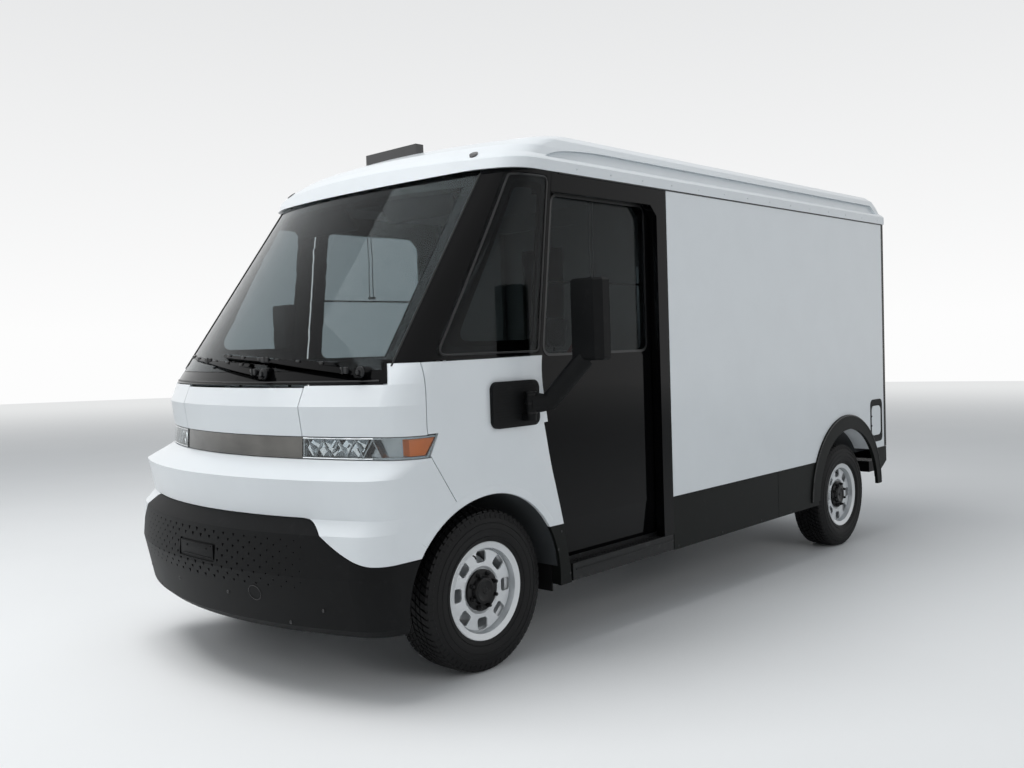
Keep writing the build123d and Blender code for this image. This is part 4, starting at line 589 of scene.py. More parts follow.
class VAN_OT_springs(bpy.types.Operator):
    """Coil springs round the front dampers"""
    bl_idname = "van.springs"
    bl_label = "Springs"

    def execute(self, context):
        upright = Matrix.Translation((0, AXLE_Y, 0)) @ Matrix.Scale(MM, 4)
        steps, count, coil_r = 16, 104, 50
        for name, side in zip(SIDES, (1, -1)):
            bm = bmesh.new()
            turns = [(tau * i / steps, 520 + 190 * i / count) for i in range(count + 1)]
            tube(bm, [(side * DAMPER_X + coil_r * cos(a), DAMPER_Y + coil_r * sin(a), z) for a, z in turns], 6.5, 8)
            piece("coil_spring_" + name, bm, FRAME_BLACK, place=upright, smooth=60)
        return {"FINISHED"}


# ------------------------------------------------------------------ cab trim
def divided(loop, step):
    """A closed loop with its long runs divided, as vectors."""
    out = []
    for here, on in zip(map(Vector, loop), map(Vector, loop[1:] + loop[:1])):
        out += run(here, on, max(1, int((on - here).length / step)))[:-1]
    return out


def border(name, outer, inner, spot, place=BODY):
    """Ceramic band between two closed loops, laid behind the glass by spot."""
    bm = bmesh.new()
    bridge(bm, [[spot(*p, -7.0) for p in pair] for pair in zip(outer, inner)], ring=False, wrap=True)
    bmesh.ops.solidify(bm, geom=bm.faces[:], thickness=1.0)
    piece(name, bm, FRIT, place=place, smooth=0)


class VAN_OT_seals(bpy.types.Operator):
    """Rubber seals round the windows and along the screen pillars, and the glass's ceramic borders"""
    bl_idname = "van.seals"
    bl_label = "Seals"

    def execute(self, context):
        window = rounded_loop([(1370, 1526), (1370, 2342), (577, 2342), (476, 1526)], 48)
        quarter = rounded_loop([(-318, 1542), (360, 1542), (470, 2418), (240, 2418)], 30, 6)
        pillar = [(SCREEN_EDGE - 60 * (z - 1485) / 1006, z) for z in (1500 + 930 * k / 17 for k in range(18))]
        rings = []
        for corners, round_by in (([(-335, 1534), (370, 1534), (480, 2426), (232, 2426)], 28),
                                  ([(-196, 1600), (318, 1600), (408, 2352), (246, 2352)], 52)):
            loop = rounded_loop(corners, round_by)
            part = len(loop) // 4
            rings.append([])
            for c in range(part, len(loop) + 1, part):
                rings[-1] += loop[c - part:c] + run(loop[c - 1], loop[c % len(loop)], 16, ends=False)
        for side, place in mirrored():
            bm = bmesh.new()
            strip(bm, window, DOOR_FACE - 3, DOOR_FACE + 2.6, 13)
            piece("door_window_seal_" + side, bm, SEAL, "door_" + side, place)
            bm = bmesh.new()
            tube(bm, [side_skin(*p, 1.0) for p in divided(quarter, 60)], 5.0, 8, closed=True)
            piece("quarter_glass_seal_" + side, bm, SEAL, place=place, smooth=60)
            bm = bmesh.new()
            tube(bm, [skin(*p, 0.5) for p in pillar], 4.5, 8)
            piece("screen_seal_" + side, bm, SEAL, place=place, smooth=60)
            border("quarter_glass_border_" + side, *rings, side_skin, place)
        rings = []
        for wide, low, narrow, high in ((SCREEN_EDGE, SCREEN_FOOT, SCREEN_EDGE - 58, SCREEN_HEAD),
                                        (SCREEN_EDGE - 62, SCREEN_FOOT + 42, SCREEN_EDGE - 120, SCREEN_HEAD - 88)):
            gap = 1 if wide == SCREEN_EDGE else 0
            rings.append(run((gap - wide, low), (wide - gap, low), 23)
                         + run((wide, low), (narrow, high), 20, ends=False)
                         + run((narrow - gap, high), (gap - narrow, high), 23)
                         + run((-narrow, high), (-wide, low), 20, ends=False))
        border("screen_border", *rings, skin)
        bm = bmesh.new()
        tube(bm, [skin(-905 + 1810 * k / 30, 1437, 1.0) for k in range(31)], 5, 8)
        piece("screen_foot_seal", bm, SEAL, smooth=60)
        return {"FINISHED"}


class VAN_OT_doors(bpy.types.Operator):
    """Door pulls, keyholes, window sliders and the grab bars inside the doorways"""
    bl_idname = "van.doors"
    bl_label = "Doors"

    def execute(self, context):
        pull = rounded_loop([(470, 1330), (530, 1330), (530, 1480), (452, 1480)], 24, 6)
        sash = DOOR_FACE - 36
        bar_x, bar_foot, bar_head = HALF_WIDTH - 158, 1180, 2040
        for side, place in mirrored():
            bm = bmesh.new()
            strip(bm, pull, DOOR_FACE, DOOR_FACE + 2.8, 9)
            bm.faces.new([bm.verts.new((DOOR_FACE + 0.8, y, z)) for y, z in pull])
            tube(bm, [(DOOR_FACE + 1.4, y, z) for y, z in ((478, 1352), (474, 1405), (469, 1458))], 1.3, 8, flat=6)
            lathe(bm, [(0, 11), (1.6, 11), (2.6, 9), (2.6, 3), (1.2, 2.4), (1.2, 0.6)], 24,
                  Matrix.Translation((DOOR_FACE, 512, 1300)))
            piece("door_pull_" + side, bm, SEAL, "door_" + side, place)
            bm = bmesh.new()
            for y in (905, 935):
                tube(bm, [(sash + 12, y, 1912), (sash + 9, y, 2100), (sash + 12, y, 2336)], 3, 8)
            slab(bm, (sash + 8, 920, 1925), (10, 60, 18), 3)
            piece("window_slider_" + side, bm, SEAL, "door_" + side, place)
            bm = bmesh.new()
            bend = ((22, 1462, 0), (4, 1450, 6), (0, 1444, 30))
            tube(bm, [(bar_x + x, y, bar_foot + z) for x, y, z in bend]
                 + [(bar_x + x, y, bar_head - z) for x, y, z in reversed(bend)], 14, 14)
            for z in (bar_foot, bar_head):
                lathe(bm, [(-2, 30), (4, 30), (6, 27), (6, 10), (2, 4)], 24,
                      Matrix.Translation((bar_x + 20, 1462, z)) @ Matrix.Rotation(pi, 4, "Z"))
            piece("doorway_grab_bar_" + side, bm, ZINC, place=place, smooth=60)
        return {"FINISHED"}


class VAN_OT_mirrors(bpy.types.Operator):
    """Mirror glass, arm covers, folding collars and the studded foot plates"""
    bl_idname = "van.mirrors"
    bl_label = "Mirrors"

    def execute(self, context):
        head = Vector((HALF_WIDTH + 265, 455, 1690))
        foot = Vector((HALF_WIDTH + 22.3, 172, 1290))
        elbow = Vector((HALF_WIDTH + 103, 317, 1294))
        neck = head + Vector((-20, -12, -180))
        arm = [Vector((HALF_WIDTH + 58, 226, 1290)), Vector((HALF_WIDTH + 82, 276, 1290)), elbow, elbow.lerp(neck, 0.3),
               elbow.lerp(neck, 0.96)]
        collar = Matrix.Translation((HALF_WIDTH + 58, 232, 1290)) @ Matrix.Rotation(-pi / 2, 4, "Y")
        pitch = 13.0
        for side, place in mirrored():
            body = "mirror_arm_" + side
            bm = bmesh.new()
            slab(bm, head + Vector((0, 48.6, 0)), (130, 3.2, 354), 1.4)
            piece("mirror_glass_" + side, bm, MIRROR, body, place)
            bm = bmesh.new()
            tube(bm, arm, 47, 20, flat=0.72)
            piece("mirror_arm_cover_" + side, bm, MOULDED, body, place, 50)
            bm = bmesh.new()
            for z in (-46, 0, 44):
                lathe(bm, [(z - 4, 28), (z - 3, 31.4), (z + 3, 31.4), (z + 4, 28)], 36, collar, closed=True)
            lathe(bm, [(54, 30), (57, 28), (59, 20), (59, 4)], 36, collar)
            piece("mirror_collar_" + side, bm, HUB_BLACK, body, place)
            bm = bmesh.new()
            for row in range(16):
                z = foot.z - 98 + row * pitch
                for k in range(24):
                    y = foot.y - 150 + (k + row % 2 / 2) * pitch
                    across, up = abs(y - foot.y), abs(z - foot.z)
                    beyond = across > 148 or (across > 128 and up > 76)
                    if beyond or (y > foot.y + 26 and z < foot.z - 46):
                        continue
                    ring = [(foot.x - 0.6, y + 5.4 * sin(a), z + 5.4 * cos(a)) for a in (0, tau / 3, 2 * tau / 3)]
                    ring = [bm.verts.new(p) for p in ring]
                    tip = bm.verts.new((foot.x + 2.0, y, z + 1))
                    for i in range(3):
                        bm.faces.new((ring[i], ring[(i + 1) % 3], tip))
                    bm.faces.new(ring[::-1])
            piece("mirror_foot_studs_" + side, bm, MOULDED, place=place, smooth=0)
        return {"FINISHED"}


class VAN_OT_front(bpy.types.Operator):
    """Lamp facets and rims, skirt screws, tow eye cover and the blank plate holder"""
    bl_idname = "van.front"
    bl_label = "Front"

    def execute(self, context):
        count, rows = 10, 2
        for side, place in mirrored():
            # folded reflector behind the headlamp's vanes
            bm = bmesh.new()
            grid = {}
            for i in range(count + 1):
                x = LAMP_INNER + 16 + (LAMP_END - LAMP_INNER - 24) * i / count
                for j in range(rows + 1):
                    z = LAMP_LOW + 12 + (LAMP_HIGH - LAMP_LOW - 24) * j / rows
                    grid[i, j] = bm.verts.new(skin(x, z, -16 if (i + j) % 2 else -42))
            for i in range(count):
                for j in range(rows):
                    a, b, c, d = grid[i, j], grid[i + 1, j], grid[i + 1, j + 1], grid[i, j + 1]
                    for fold in ((a, b, c), (a, c, d)) if (i + j) % 2 else ((a, b, d), (b, c, d)):
                        bm.faces.new(fold)
            piece("lamp_facets_" + side, bm, CHROME, place=place, smooth=0)
            bm = bmesh.new()
            for z in (LAMP_LOW + 5, LAMP_HIGH - 5):
                edge = run((LAMP_INNER + 5, z), (LAMP_END + 45, z), 16)
                tube(bm, [skin(*p, 0.4) for p in edge], 2.5, 6)
            piece("lamp_rim_" + side, bm, CHROME, place=place, smooth=60)
            bm = bmesh.new()
            for x, z in ((788, 444), (228, 472), (600, 372)):
                screw(bm, skin(x, z, 0.2), skin(x, z, 10) - skin(x, z, 0), 9)
            for y, z in ((498, 610), (470, 520), (560, 382), (1560, 352), (2050, 352), (2540, 352), (2950, 352)):
                screw(bm, (HALF_WIDTH + 0.2, y, z), (1, 0, 0))
            piece("skirt_screws_" + side, bm, SEAL, place=place)
        bm = bmesh.new()
        turns = [tau * k / 28 for k in range(28)]
        tube(bm, [skin(421 + 38 * cos(a), 492 + 34 * sin(a), 0.3) for a in turns], 2.2, 6, closed=True)
        piece("tow_eye_cover", bm, SEAL, smooth=60)
        bm = bmesh.new()
        bracket = skin(0, 649, -7)
        slab(bm, bracket + Vector((0, -1, 0)), (300, 5, 70), 2)
        for x in (-88, 88):
            screw(bm, bracket + Vector((x, -3.6, 12)), (0, -1, 0))
        for z in (-28, 28):
            slab(bm, bracket + Vector((0, -4.5, z)), (270, 3, 4), 1)
        piece("plate_holder", bm, MOULDED)
        return {"FINISHED"}


class VAN_OT_wipers(bpy.types.Operator):
    """Wiper rubbers, claw joints, springs and pivot nuts"""
    bl_idname = "van.wipers"
    bl_label = "Wipers"

    def execute(self, context):
        for name, shift in (("left", 0.0), ("right", 569.0)):
            blade = run((649 - shift, 1508), (-236 - shift, 1560), 24)
            bm = bmesh.new()
            tube(bm, [skin(*p, 4.0) for p in blade], 4.0, 8)
            for x, z in blade[2:23:4]:
                slab(bm, skin(x, z + 9, 22.0), (26, 9, 17), 3)
            piece("wiper_rubber_" + name, bm, SEAL, smooth=50)
            bm = bmesh.new()
            pivot = (821 - shift, 1477)
            place = facing(skin(*pivot, 30), skin(*pivot, 60) - skin(*pivot, 0))
            lathe(bm, [(0, 27), (8, 27), (13, 23), (14, 15), (14, 14)], 30, place)
            lathe(bm, [(13, 13), (20, 13), (23, 10), (23, 3)], 6, place)
            hinge, joint = skin(735 - shift, 1487, 34), skin(200 - shift, 1544, 34)
            slab(bm, hinge, (70, 16, 30), 5, Matrix.Rotation(radians(-12), 4, "Z"))
            tube(bm, [hinge + Vector((0, -9, z)) for z in (-16, 16)], 5, 12)
            slab(bm, joint, (64, 12, 26), 4)
            tube(bm, [joint + Vector((0, -4, z)) for z in (-15, 15)], 5, 12)
            piece("wiper_fittings_" + name, bm, FRAME_BLACK)
        return {"FINISHED"}


class VAN_OT_arches(bpy.types.Operator):
    """Rolled lips round the front wheel openings and a bead on the rear flares"""
    bl_idname = "van.arches"
    bl_label = "Arches"

    def execute(self, context):
        arch_y, arch_z = TYRE_RADIUS / MM * sin(RAKE), TYRE_RADIUS / MM * cos(RAKE)
        rear = (REAR_AXLE_Y - AXLE_Y) / MM
        flare_y, flare_z = rear * cos(RAKE) + arch_y - 24, arch_z - rear * sin(RAKE) + 14
        high, front_reach, rear_reach = 478, 538, 478
        rows = []
        for a in (radians(-8 + 196 * k / 56) for k in range(57)):
            ahead = cos(a) < 0
            reach = front_reach if ahead else rear_reach
            y, z = arch_y + reach * cos(a), arch_z + high * sin(a)
            if z >= (666 if ahead else 650):
                out = Vector((0, cos(a) / reach, sin(a) / high)).normalized()
                rows.append([Vector((HALF_WIDTH + x, y, z)) + out * grow for grow, x in
                             ((-1.5, -16), (-1.5, 0), (2, 3.0), (30, 3.4), (40, 0.0), (40, -4), (12, -12))])
        bead = [(HALF_WIDTH + 9, flare_y + 600 * cos(a), flare_z + 600 * sin(a))
                for a in (radians(2 + 176 * k / 48) for k in range(49))]
        for side, place in mirrored():
            bm = bmesh.new()
            bridge(bm, rows, caps=True)
            piece("arch_lip_" + side, bm, PAINT, place=place, smooth=35)
            bm = bmesh.new()
            tube(bm, bead, 5.5, 8)
            piece("flare_bead_" + side, bm, SEAL, place=place, smooth=60)
        return {"FINISHED"}


class VAN_OT_steps(bpy.types.Operator):
    """Anti-slip studs and nosings on the side steps and the rear bumper"""
    bl_idname = "van.steps"
    bl_label = "Steps"

    def execute(self, context):
        for side, place in mirrored():
            bm = bmesh.new()
            for row in range(3):
                for k in range(32):
                    spot = (HALF_WIDTH - 50 + row * 12, 655 + k * 26 + row % 2 * 13, STEP_TOP - 0.5)
                    lathe(bm, [(-1, 4.2), (2.0, 3.8), (3.0, 1.6)], 8,
                          Matrix.Translation(spot) @ Matrix.Rotation(-pi / 2, 4, "Y"))
            slab(bm, (HALF_WIDTH - 7, 1060, STEP_TOP - 1), (14, 880, 8), 3)
            slab(bm, (HALF_WIDTH - 1, 1060, STEP_TOP - 34), (6, 900, 8), 2)
            piece("step_studs_" + side, bm, STEP, place=place)
        bm = bmesh.new()
        for row in range(7):
            for k in range(44):
                turn = Matrix.Rotation(radians(45 if (row + k) % 2 else -45), 4, "Z")
                slab(bm, (-860 + 40 * k, FRAME_REAR + 34 + 28 * row, 510.6), (26, 6, 3.6), 1.5, turn, 1)
        piece("rear_step_tread", bm, STEP)
        return {"FINISHED"}


# ------------------------------------------------------------------ body trim
class VAN_OT_flap_ring(bpy.types.Operator):
    """Dark moulded surround of the charging flap"""
    bl_idname = "van.flap_ring"
    bl_label = "Flap surround"

    def execute(self, context):
        y, z = CARGO_REAR - 147.0, 872.0
        inner, outer = (rounded_loop([(y - wide, z - high), (y + wide, z - high), (y + wide, z + high),
                                      (y - wide, z + high)], round_by)
                        for wide, high, round_by in ((91, 124, 46), (110, 170, 50)))
        bm = bmesh.new()
        bridge(bm, [[(HALF_WIDTH - 2, *a), (HALF_WIDTH + 2.2, *a), (HALF_WIDTH + 3, *b), (HALF_WIDTH - 2, *b)]
                    for a, b in zip(inner, outer)], wrap=True)
        piece("flap_surround", bm, MOULDED, smooth=30)
        return {"FINISHED"}


class VAN_OT_roof(bpy.types.Operator):
    """Roof cap rivets and the gutter along the load body"""
    bl_idname = "van.roof"
    bl_label = "Roof"

    def execute(self, context):
        for side, place in mirrored():
            bm = bmesh.new()
            rivet = Vector((HALF_WIDTH + 8.2, 700, ROOF_EDGE + 27))
            for at in run(rivet, rivet + Vector((0, CARGO_REAR - 780, 0)), 13):
                screw(bm, at, (1, 0, 0), 5)
            piece("roof_rivets_" + side, bm, PAINT, place=place)
            bm = bmesh.new()
            tube(bm, run((HALF_WIDTH + 3, 560, ROOF_EDGE - 3), (HALF_WIDTH + 3, CARGO_REAR, ROOF_EDGE - 3), 20), 4.5, 8)
            piece("gutter_seal_" + side, bm, SEAL, place=place, smooth=60)
        return {"FINISHED"}


class VAN_OT_rear(bpy.types.Operator):
    """Rear door latch, grab handles, guides, lamp lenses, blank plate and stops"""
    bl_idname = "van.rear"
    bl_label = "Rear"

    def execute(self, context):
        door_y = CARGO_REAR + 28
        bm = bmesh.new()
        slab(bm, (0, door_y + 3, 760), (190, 8, 120), 4)
        slab(bm, (0, door_y + 10, 762), (120, 10, 54), 5)
        grip = ((-52, 14, 740), (-52, 34, 742), (52, 34, 742), (52, 14, 740))
        tube(bm, [(x, door_y + y, z) for x, y, z in grip], 7, 12)
        for x in (-80, 80):
            for z in (714, 806):
                screw(bm, (x, door_y + 7, z), (0, 1, 0))
        slab(bm, (0, door_y + 5, 676), (1540, 8, 24), 4)
        piece("rear_door_latch", bm, ZINC)
        handles, guides, stops = bmesh.new(), bmesh.new(), bmesh.new()
        handle = ((1, 1420), (46, 1432), (52, 1470), (52, 1960), (46, 1998), (1, 2010))
        for side in (-1, 1):
            at = side * (OPEN_HALF + 30)
            tube(handles, [(at, FRAME_REAR + y, z) for y, z in handle], 14, 14)
            for z in (1420, 2010):
                turn = Matrix.Translation((at, FRAME_REAR, z)) @ Matrix.Rotation(pi / 2, 4, "Z")
                lathe(handles, [(-1, 30), (4, 30), (6, 26), (6, 16)], 24, turn)
            slab(guides, (side * (OPEN_HALF + 8), FRAME_REAR + 2, 1510), (16, 6, 1700))
            slab(stops, (side * 960, FRAME_REAR + 20, 600), (60, 38, 88), 8)
            slab(stops, (side * 820, FRAME_REAR + 234, 465), (90, 10, 70), 4)
        piece("rear_grab_handles", handles, ZINC, smooth=50)
        slab(guides, (0, FRAME_REAR + 2, 2376), (1596, 6, 14))
        piece("rear_door_guides", guides, SEAL)
        tail_x, tail_y = HALF_WIDTH - 127.5, FRAME_REAR + 31
        for part, look, slot, low, high in (("stop", RED_LENS, "red_lens", 1108, 1288),
                                            ("turn", AMBER, "amber_lens", 1010, 1098),
                                            ("reverse", LENS, "clear_lens", 912, 1000)):
            bm = bmesh.new()
            for x in (-tail_x, tail_x):
                slab(bm, (x, tail_y, (low + high) / 2), (128, 10, high - low), 5, segments=3)
                for z in range(low + 10, low + 10 + 14 * int((high - low) / 14), 14):
                    slab(bm, (x, tail_y + 5, z), (112, 3, 5), 1, segments=1)
            piece("tail_lens_" + part, bm, look)
        bm = bmesh.new()
        for x, z, high in ((-150, 2412, 22), (0, 2412, 22), (150, 2412, 22), (70 - HALF_WIDTH, 2406, 26),
                           (HALF_WIDTH - 70, 2406, 26)):
            slab(bm, (x, FRAME_REAR + 6, z), (70, 12, high), 5, segments=3)
        piece("high_lamps", bm, RED_LENS)
        bm = bmesh.new()
        slab(bm, (-560, FRAME_REAR + 3, 590), (306, 5, 96))
        piece("blank_plate", bm, PLATE)
        for z in (641, 539):
            slab(stops, (-560, FRAME_REAR + 6, z), (320, 12, 6))
        piece("rear_stops", stops, SEAL)
        return {"FINISHED"}


# ------------------------------------------------------------------ cab inside
class VAN_OT_cab(bpy.types.Operator):
    """Instrument hood, displays, vents, pedals, stalks, visors, ceiling and the seat belt"""
    bl_idname = "van.cab"
    bl_label = "Cab"

    def execute(self, context):
        bm = bmesh.new()
        tilt = Matrix.Rotation(radians(-18), 4, "X")
        slab(bm, (SEAT_X, -240, 1372), (330, 120, 92), 26, tilt, 4)
        slab(bm, (0, -190, 1350), (250, 40, 170), 14, tilt, 3)
        for x in (-640, -300, 180, 700):
            for z in range(1200, 1265, 13):
                slab(bm, (x, -148, z), (110, 14, 5), 2, Matrix.Rotation(radians(20), 4, "X"), 1)
        slab(bm, (0, -170, 1090), (300, 60, 40), 12)
        piece("dash_fittings", bm, DASH)
        bm = bmesh.new()
        slab(bm, (SEAT_X, -184, 1374), (270, 6, 66), 3, tilt)
        slab(bm, (0, -167, 1352), (226, 6, 146), 3, tilt)
        piece("dash_displays", bm, SCREEN)
        bm = bmesh.new()
        for x, wide in ((SEAT_X - 70, 60), (SEAT_X + 60, 46)):
            tube(bm, [(x, -330, 900), (x, -290, 760), (x, -270, 640)], 8)
            slab(bm, (x, -262, 640), (wide, 12, 84), 5, Matrix.Rotation(radians(25), 4, "X"))
        for side in (-1, 1):
            tube(bm, [(SEAT_X + side * x, y, z) for x, y, z in ((30, 20, 1226), (90, 24, 1246), (150, 30, 1256))], 7)
        piece("pedals_and_stalks", bm, FRAME_BLACK, smooth=50)
        bm = bmesh.new()
        for middle in (-430, 430):
            slab(bm, (middle, 150, 2320), (560, 22, 150), 9, Matrix.Rotation(radians(38), 4, "X"), 3)
            for x in (middle - 240, middle + 240):
                tube(bm, [(x, 122, 2392), (x, 110, 2440)], 7)
        slab(bm, (0, 420, 2404), (360, 460, 60), 24, segments=3)
        piece("sun_visors", bm, DASH)
        bm = bmesh.new()
        edge = [skin(-850 + 85 * k, 2440, -60) for k in range(21)]
        edge += [Vector((862, 1538, 2440)), Vector((-862, 1538, 2440))]
        bridge(bm, (edge, [p + Vector((0, 0, 9)) for p in edge]), caps=True)
        piece("cab_ceiling", bm, FELT, smooth=30)
        bm = bmesh.new()
        # the idle belt lies across the backrest, 74 mm ahead of its middle plane
        belt = [Vector((SEAT_X + 300, 1180, 1700)), Vector((SEAT_X + 238, 1112, 1570))]
        belt += [SEAT_FOOT + SEAT_LEAN @ Vector((x, -74, z))
                 for x, z in ((180, 540), (40, 340), (-100, 140), (-185, 48))]
        belt += [Vector((SEAT_X - 250, 940, 896)), Vector((SEAT_X - 276, 940, 826))]
        rows = []
        for before, point, after in zip(belt[:1] + belt, belt, belt[1:] + belt[-1:]):
            wide = (after - before).normalized().cross(Vector((0, -1, 0.15))).normalized() * 24
            rows.append([point + wide * s + Vector((0, d, 0)) for s, d in ((-1, 0), (1, 0), (1, 2), (-1, 2))])
        bridge(bm, rows, caps=True)
        bmesh.ops.subdivide_edges(bm, edges=bm.edges[:], cuts=2, smooth=0.6)
        piece("seat_belt", bm, BELT_WEB, smooth=60)
        bm = bmesh.new()
        slab(bm, (SEAT_X + 302, 1180, 1712), (60, 34, 70), 8)
        slab(bm, (SEAT_X - 276, 940, 786), (34, 30, 90), 7)
        tube(bm, [(SEAT_X + 302, y, z) for y, z in ((1196, 1700), (1230, 1500), (1230, 520))], 10)
        piece("belt_fittings", bm, FRAME_BLACK, smooth=50)
        return {"FINISHED"}


def bake(obj):
    """Apply an object's modifiers to its mesh."""
    made = bpy.data.meshes.new_from_object(obj.evaluated_get(bpy.context.evaluated_depsgraph_get()))
    obj.modifiers.clear()
    obj.data = made


def pad(name, drawing, size, swell, settle=20, voxel=6.0):
    """An inflated, cloth-covered pad with rounded corners, its size in millimetres about the drawing's origin."""
    bm = bmesh.new()
    bmesh.ops.create_cube(bm, size=2.0)
    bmesh.ops.subdivide_edges(bm, edges=bm.edges[:], cuts=9, use_grid_fill=True)
    half = Vector(size) / 2 - Vector((swell, swell, swell)) * 0.5
    thin = min(range(3), key=lambda i: size[i])
    for v in bm.verts:
        p = v.co.copy()
        power = [abs(c) ** 6 for c in p]
        pull = 1 - 0.045 * (power[0] * power[1] + power[1] * power[2] + power[2] * power[0])
        wide = [c for i, c in enumerate(p) if i != thin]
        crown = 0.86 + 0.14 * (1 - wide[0] ** 4) * (1 - wide[1] ** 4)
        v.co = Vector([p[i] * half[i] * (crown if i == thin else pull) for i in range(3)])
    bm.transform(drawing)
    mesh = bpy.data.meshes.new(name)
    bm.to_mesh(mesh)
    bm.free()
    obj = bpy.data.objects.new(name, mesh)
    bpy.context.scene.collection.objects.link(obj)
    even = obj.modifiers.new("even", "REMESH")
    even.mode, even.voxel_size = "VOXEL", voxel * MM
    bake(obj)
    rest = [v.co.copy() for v in obj.data.vertices]
    cloth = obj.modifiers.new("cloth", "CLOTH").settings
    cloth.use_pressure = True
    cloth.uniform_pressure_force = 4
    cloth.effector_weights.gravity = 0
    for step in range(1, settle + 1):
        bpy.context.scene.frame_set(step)
    bake(obj)
    bpy.context.scene.frame_set(1)
    cap = swell * MM
    for v, start in zip(obj.data.vertices, rest):
        move = v.co - start
        if move.length > cap:
            v.co = start + move.normalized() * cap
    return obj


def channels(obj, drawing, lines, depth=5.0, half_width=7.0):
    """Press sewn channels into a pad: each line is an axis and a place along it, in the drawing's millimetres."""
    back = drawing.inverted()
    normals = [v.normal.copy() for v in obj.data.vertices]
    for v, normal in zip(obj.data.vertices, normals):
        local = back @ v.co
        press = max(exp(-((local[axis] - spot) / half_width) ** 2) for axis, spot in lines)
        v.co = v.co - normal * press * depth * MM


class VAN_OT_seat(bpy.types.Operator):
    """Driver's seat in woven cloth: cushion, backrest and headrest"""
    bl_idname = "van.seat"
    bl_label = "Driver's seat"

    def execute(self, context):
        swell = context.scene.van_sizes.seat_swell / MM
        parts = (("seat_cushion", Vector((SEAT_X, 740, 806)), (478, 478, 128), Matrix.Identity(4),
                  ((0, -130), (0, 130), (1, -80), (1, 60))),
                 ("seat_backrest", SEAT_FOOT + SEAT_LEAN @ Vector((0, 0, 340)), (468, 118, 696), SEAT_LEAN,
                  ((0, -130), (0, 130), (2, -180), (2, -20), (2, 140))),
                 ("seat_headrest", SEAT_FOOT + SEAT_LEAN @ Vector((0, 0, 782)), (268, 98, 190), SEAT_LEAN, ((0, 0),)))
        for name, middle, size, turn, lines in parts:
            drawing = BODY @ Matrix.Translation(middle) @ turn
            obj = pad(name, drawing, size, swell)
            channels(obj, drawing, lines)
            obj.data.shade_smooth()
            coat(obj, CLOTH)
            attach(obj, "van")
            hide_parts("driver_seat")
        bm = bmesh.new()
        for x in (-60, 60):
            tube(bm, [SEAT_FOOT + SEAT_LEAN @ Vector((x, 0, z)) for z in (660, 740)], 7, 12)
        for side in (-1, 1):
            slab(bm, (SEAT_X + side * 244, 760, 764), (16, 380, 60), 7, segments=3)
            slab(bm, SEAT_FOOT + Vector((side * 240, -10, 10)), (18, 90, 110), 8, segments=3)
        piece("seat_fittings", bm, FRAME_BLACK, smooth=50)
        return {"FINISHED"}


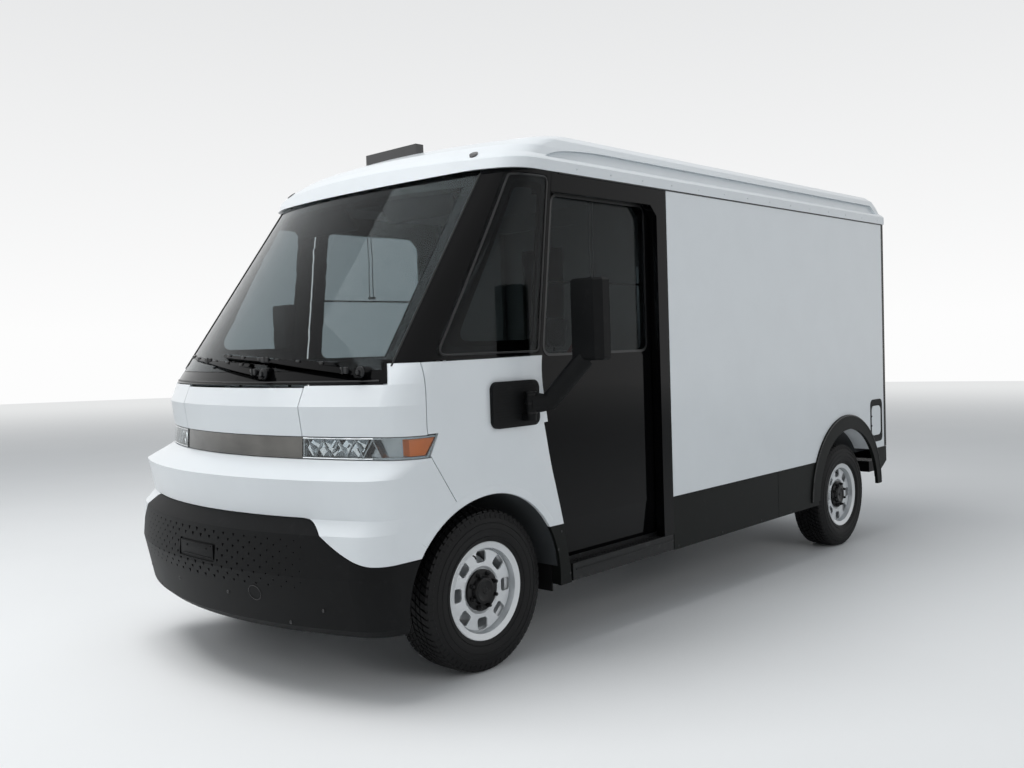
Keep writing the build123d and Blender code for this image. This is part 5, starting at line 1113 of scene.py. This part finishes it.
# ------------------------------------------------------------------ stage
class VAN_OT_stage(bpy.types.Operator):
    """Floor, sky, lamps and camera"""
    bl_idname = "van.stage"
    bl_label = "Stage"

    def execute(self, context):
        sizes = context.scene.van_sizes
        # The camera, glossy and transmitted rays see the pale backdrop; the rest see its light.
        floor_look, tree, bsdf, place = shader("polished_pale_concrete")
        tint = ramp(tree, noise(tree, place, 1400, 5.0), 0.0, 1.0, linear("#E9EAEA"), linear("#EEEFEF"))
        wire(tree, bsdf, {"Base Color": tint, "Roughness": 0.6, "Specular IOR Level": 0.2})
        away = add(tree, "VectorMath", {0: place}, operation="LENGTH")["Value"]
        far = fade(tree, away, 7.0, 34.0, 0.0, 0.9, interpolation_type="SMOOTHSTEP")
        backdrop = compute(tree, "MULTIPLY", far, self.seen_ray(tree))
        white = add(tree, "Emission", {"Color": linear("#ECEDED")})[0]
        wire(tree, tree.nodes["Material Output"],
             {"Surface": add(tree, "MixShader", {0: backdrop, 1: bsdf.outputs[0], 2: white})[0]})
        bm = bmesh.new()
        bmesh.ops.create_circle(bm, cap_ends=True, radius=38, segments=160)
        mesh = bpy.data.meshes.new("floor")
        bm.to_mesh(mesh)
        bm.free()
        floor = bpy.data.objects.new("floor", mesh)
        context.scene.collection.objects.link(floor)
        coat(floor, floor_look)

        world = bpy.data.worlds.new("studio_sky")
        context.scene.world = world
        world.use_nodes = True
        tree = world.node_tree
        tree.nodes.clear()
        light = add(tree, "Background", {"Color": linear("#E6ECF2"), "Strength": sizes.sky_light})[0]
        up = add(tree, "SeparateXYZ", {0: add(tree, "TexCoord", {})["Generated"]})["Z"]
        sky = ramp(tree, up, 0.03, 0.4, linear("#FDFDFD"), linear("#E2E3E4"))
        seen = add(tree, "Background", {"Color": sky, "Strength": 1.0})[0]
        add(tree, "OutputWorld", {"Surface": add(tree, "MixShader", {0: self.seen_ray(tree), 1: light, 2: seen})[0]})

        for name, spot, size, power in (("top", (-1.6, -4, 10), 7, 1.0), ("front", (-3, -11, 7), 7, 0.26),
                                        ("side", (11, -2, 5.2), 5, 0.23)):
            lamp = bpy.data.lights.new(name, "AREA")
            lamp.energy, lamp.size = sizes.key_power * power, size
            obj = bpy.data.objects.new(name, lamp)
            obj.location = spot
            aim = Vector((0, 0, 1.2)) - Vector(spot)
            obj.rotation_euler = aim.to_track_quat("-Z", "Y").to_euler()
            obj.visible_glossy = name == "front"
            context.scene.collection.objects.link(obj)
        data = bpy.data.cameras.new("camera")
        data.lens = sizes.lens_mm
        data.clip_end = 200
        camera = bpy.data.objects.new("camera", data)
        context.scene.collection.objects.link(camera)
        spot = Vector((4.3045, AXLE_Y - 3.2916, 1.5338))
        look = Vector((-sin(sizes.turn) * cos(sizes.dip), cos(sizes.turn) * cos(sizes.dip), -sin(sizes.dip)))
        side = look.cross(Vector((0, 0, 1))).normalized()
        up = side.cross(look)
        right = side * cos(sizes.lean) + up * sin(sizes.lean)
        top = up * cos(sizes.lean) - side * sin(sizes.lean)
        basis = Matrix((right, top, -look)).transposed()
        camera.matrix_world = Matrix.Translation(spot) @ basis.to_4x4()
        context.scene.camera = camera
        context.scene.view_settings.view_transform = "Standard"
        return {"FINISHED"}

    def seen_ray(self, tree):
        """1 for camera, glossy and transmission rays, which see the backdrop itself."""
        ray = add(tree, "LightPath", {})
        total = ray["Is Camera Ray"]
        for name in ("Is Glossy Ray", "Is Transmission Ray"):
            total = compute(tree, "MAXIMUM", total, ray[name])
        return total


class VAN_PT_panel(bpy.types.Panel):
    """Sidebar panel with the van's steps"""
    bl_idname = "VAN_PT_panel"
    bl_label = "Delivery van"
    bl_space_type = "VIEW_3D"
    bl_region_type = "UI"
    bl_category = "Van"

    def draw(self, context):
        for step in STEPS:
            self.layout.operator(step.bl_idname)


STEPS = (VAN_OT_stage, VAN_OT_finishes, VAN_OT_tyres, VAN_OT_hubs, VAN_OT_springs, VAN_OT_seals, VAN_OT_doors,
         VAN_OT_mirrors, VAN_OT_front, VAN_OT_wipers, VAN_OT_arches, VAN_OT_steps, VAN_OT_flap_ring, VAN_OT_roof,
         VAN_OT_rear, VAN_OT_cab, VAN_OT_seat)
CLASSES = (VanSizes,) + STEPS + (VAN_PT_panel,)


def register():
    for cls in CLASSES:
        bpy.utils.register_class(cls)
    bpy.types.Scene.van_sizes = bpy.props.PointerProperty(type=VanSizes)


def unregister():
    del bpy.types.Scene.van_sizes
    for cls in reversed(CLASSES):
        bpy.utils.unregister_class(cls)


def main():
    register()
    for step in STEPS:
        group, name = step.bl_idname.split(".")
        getattr(getattr(bpy.ops, group), name)()


if __name__ == "__main__":
    main()
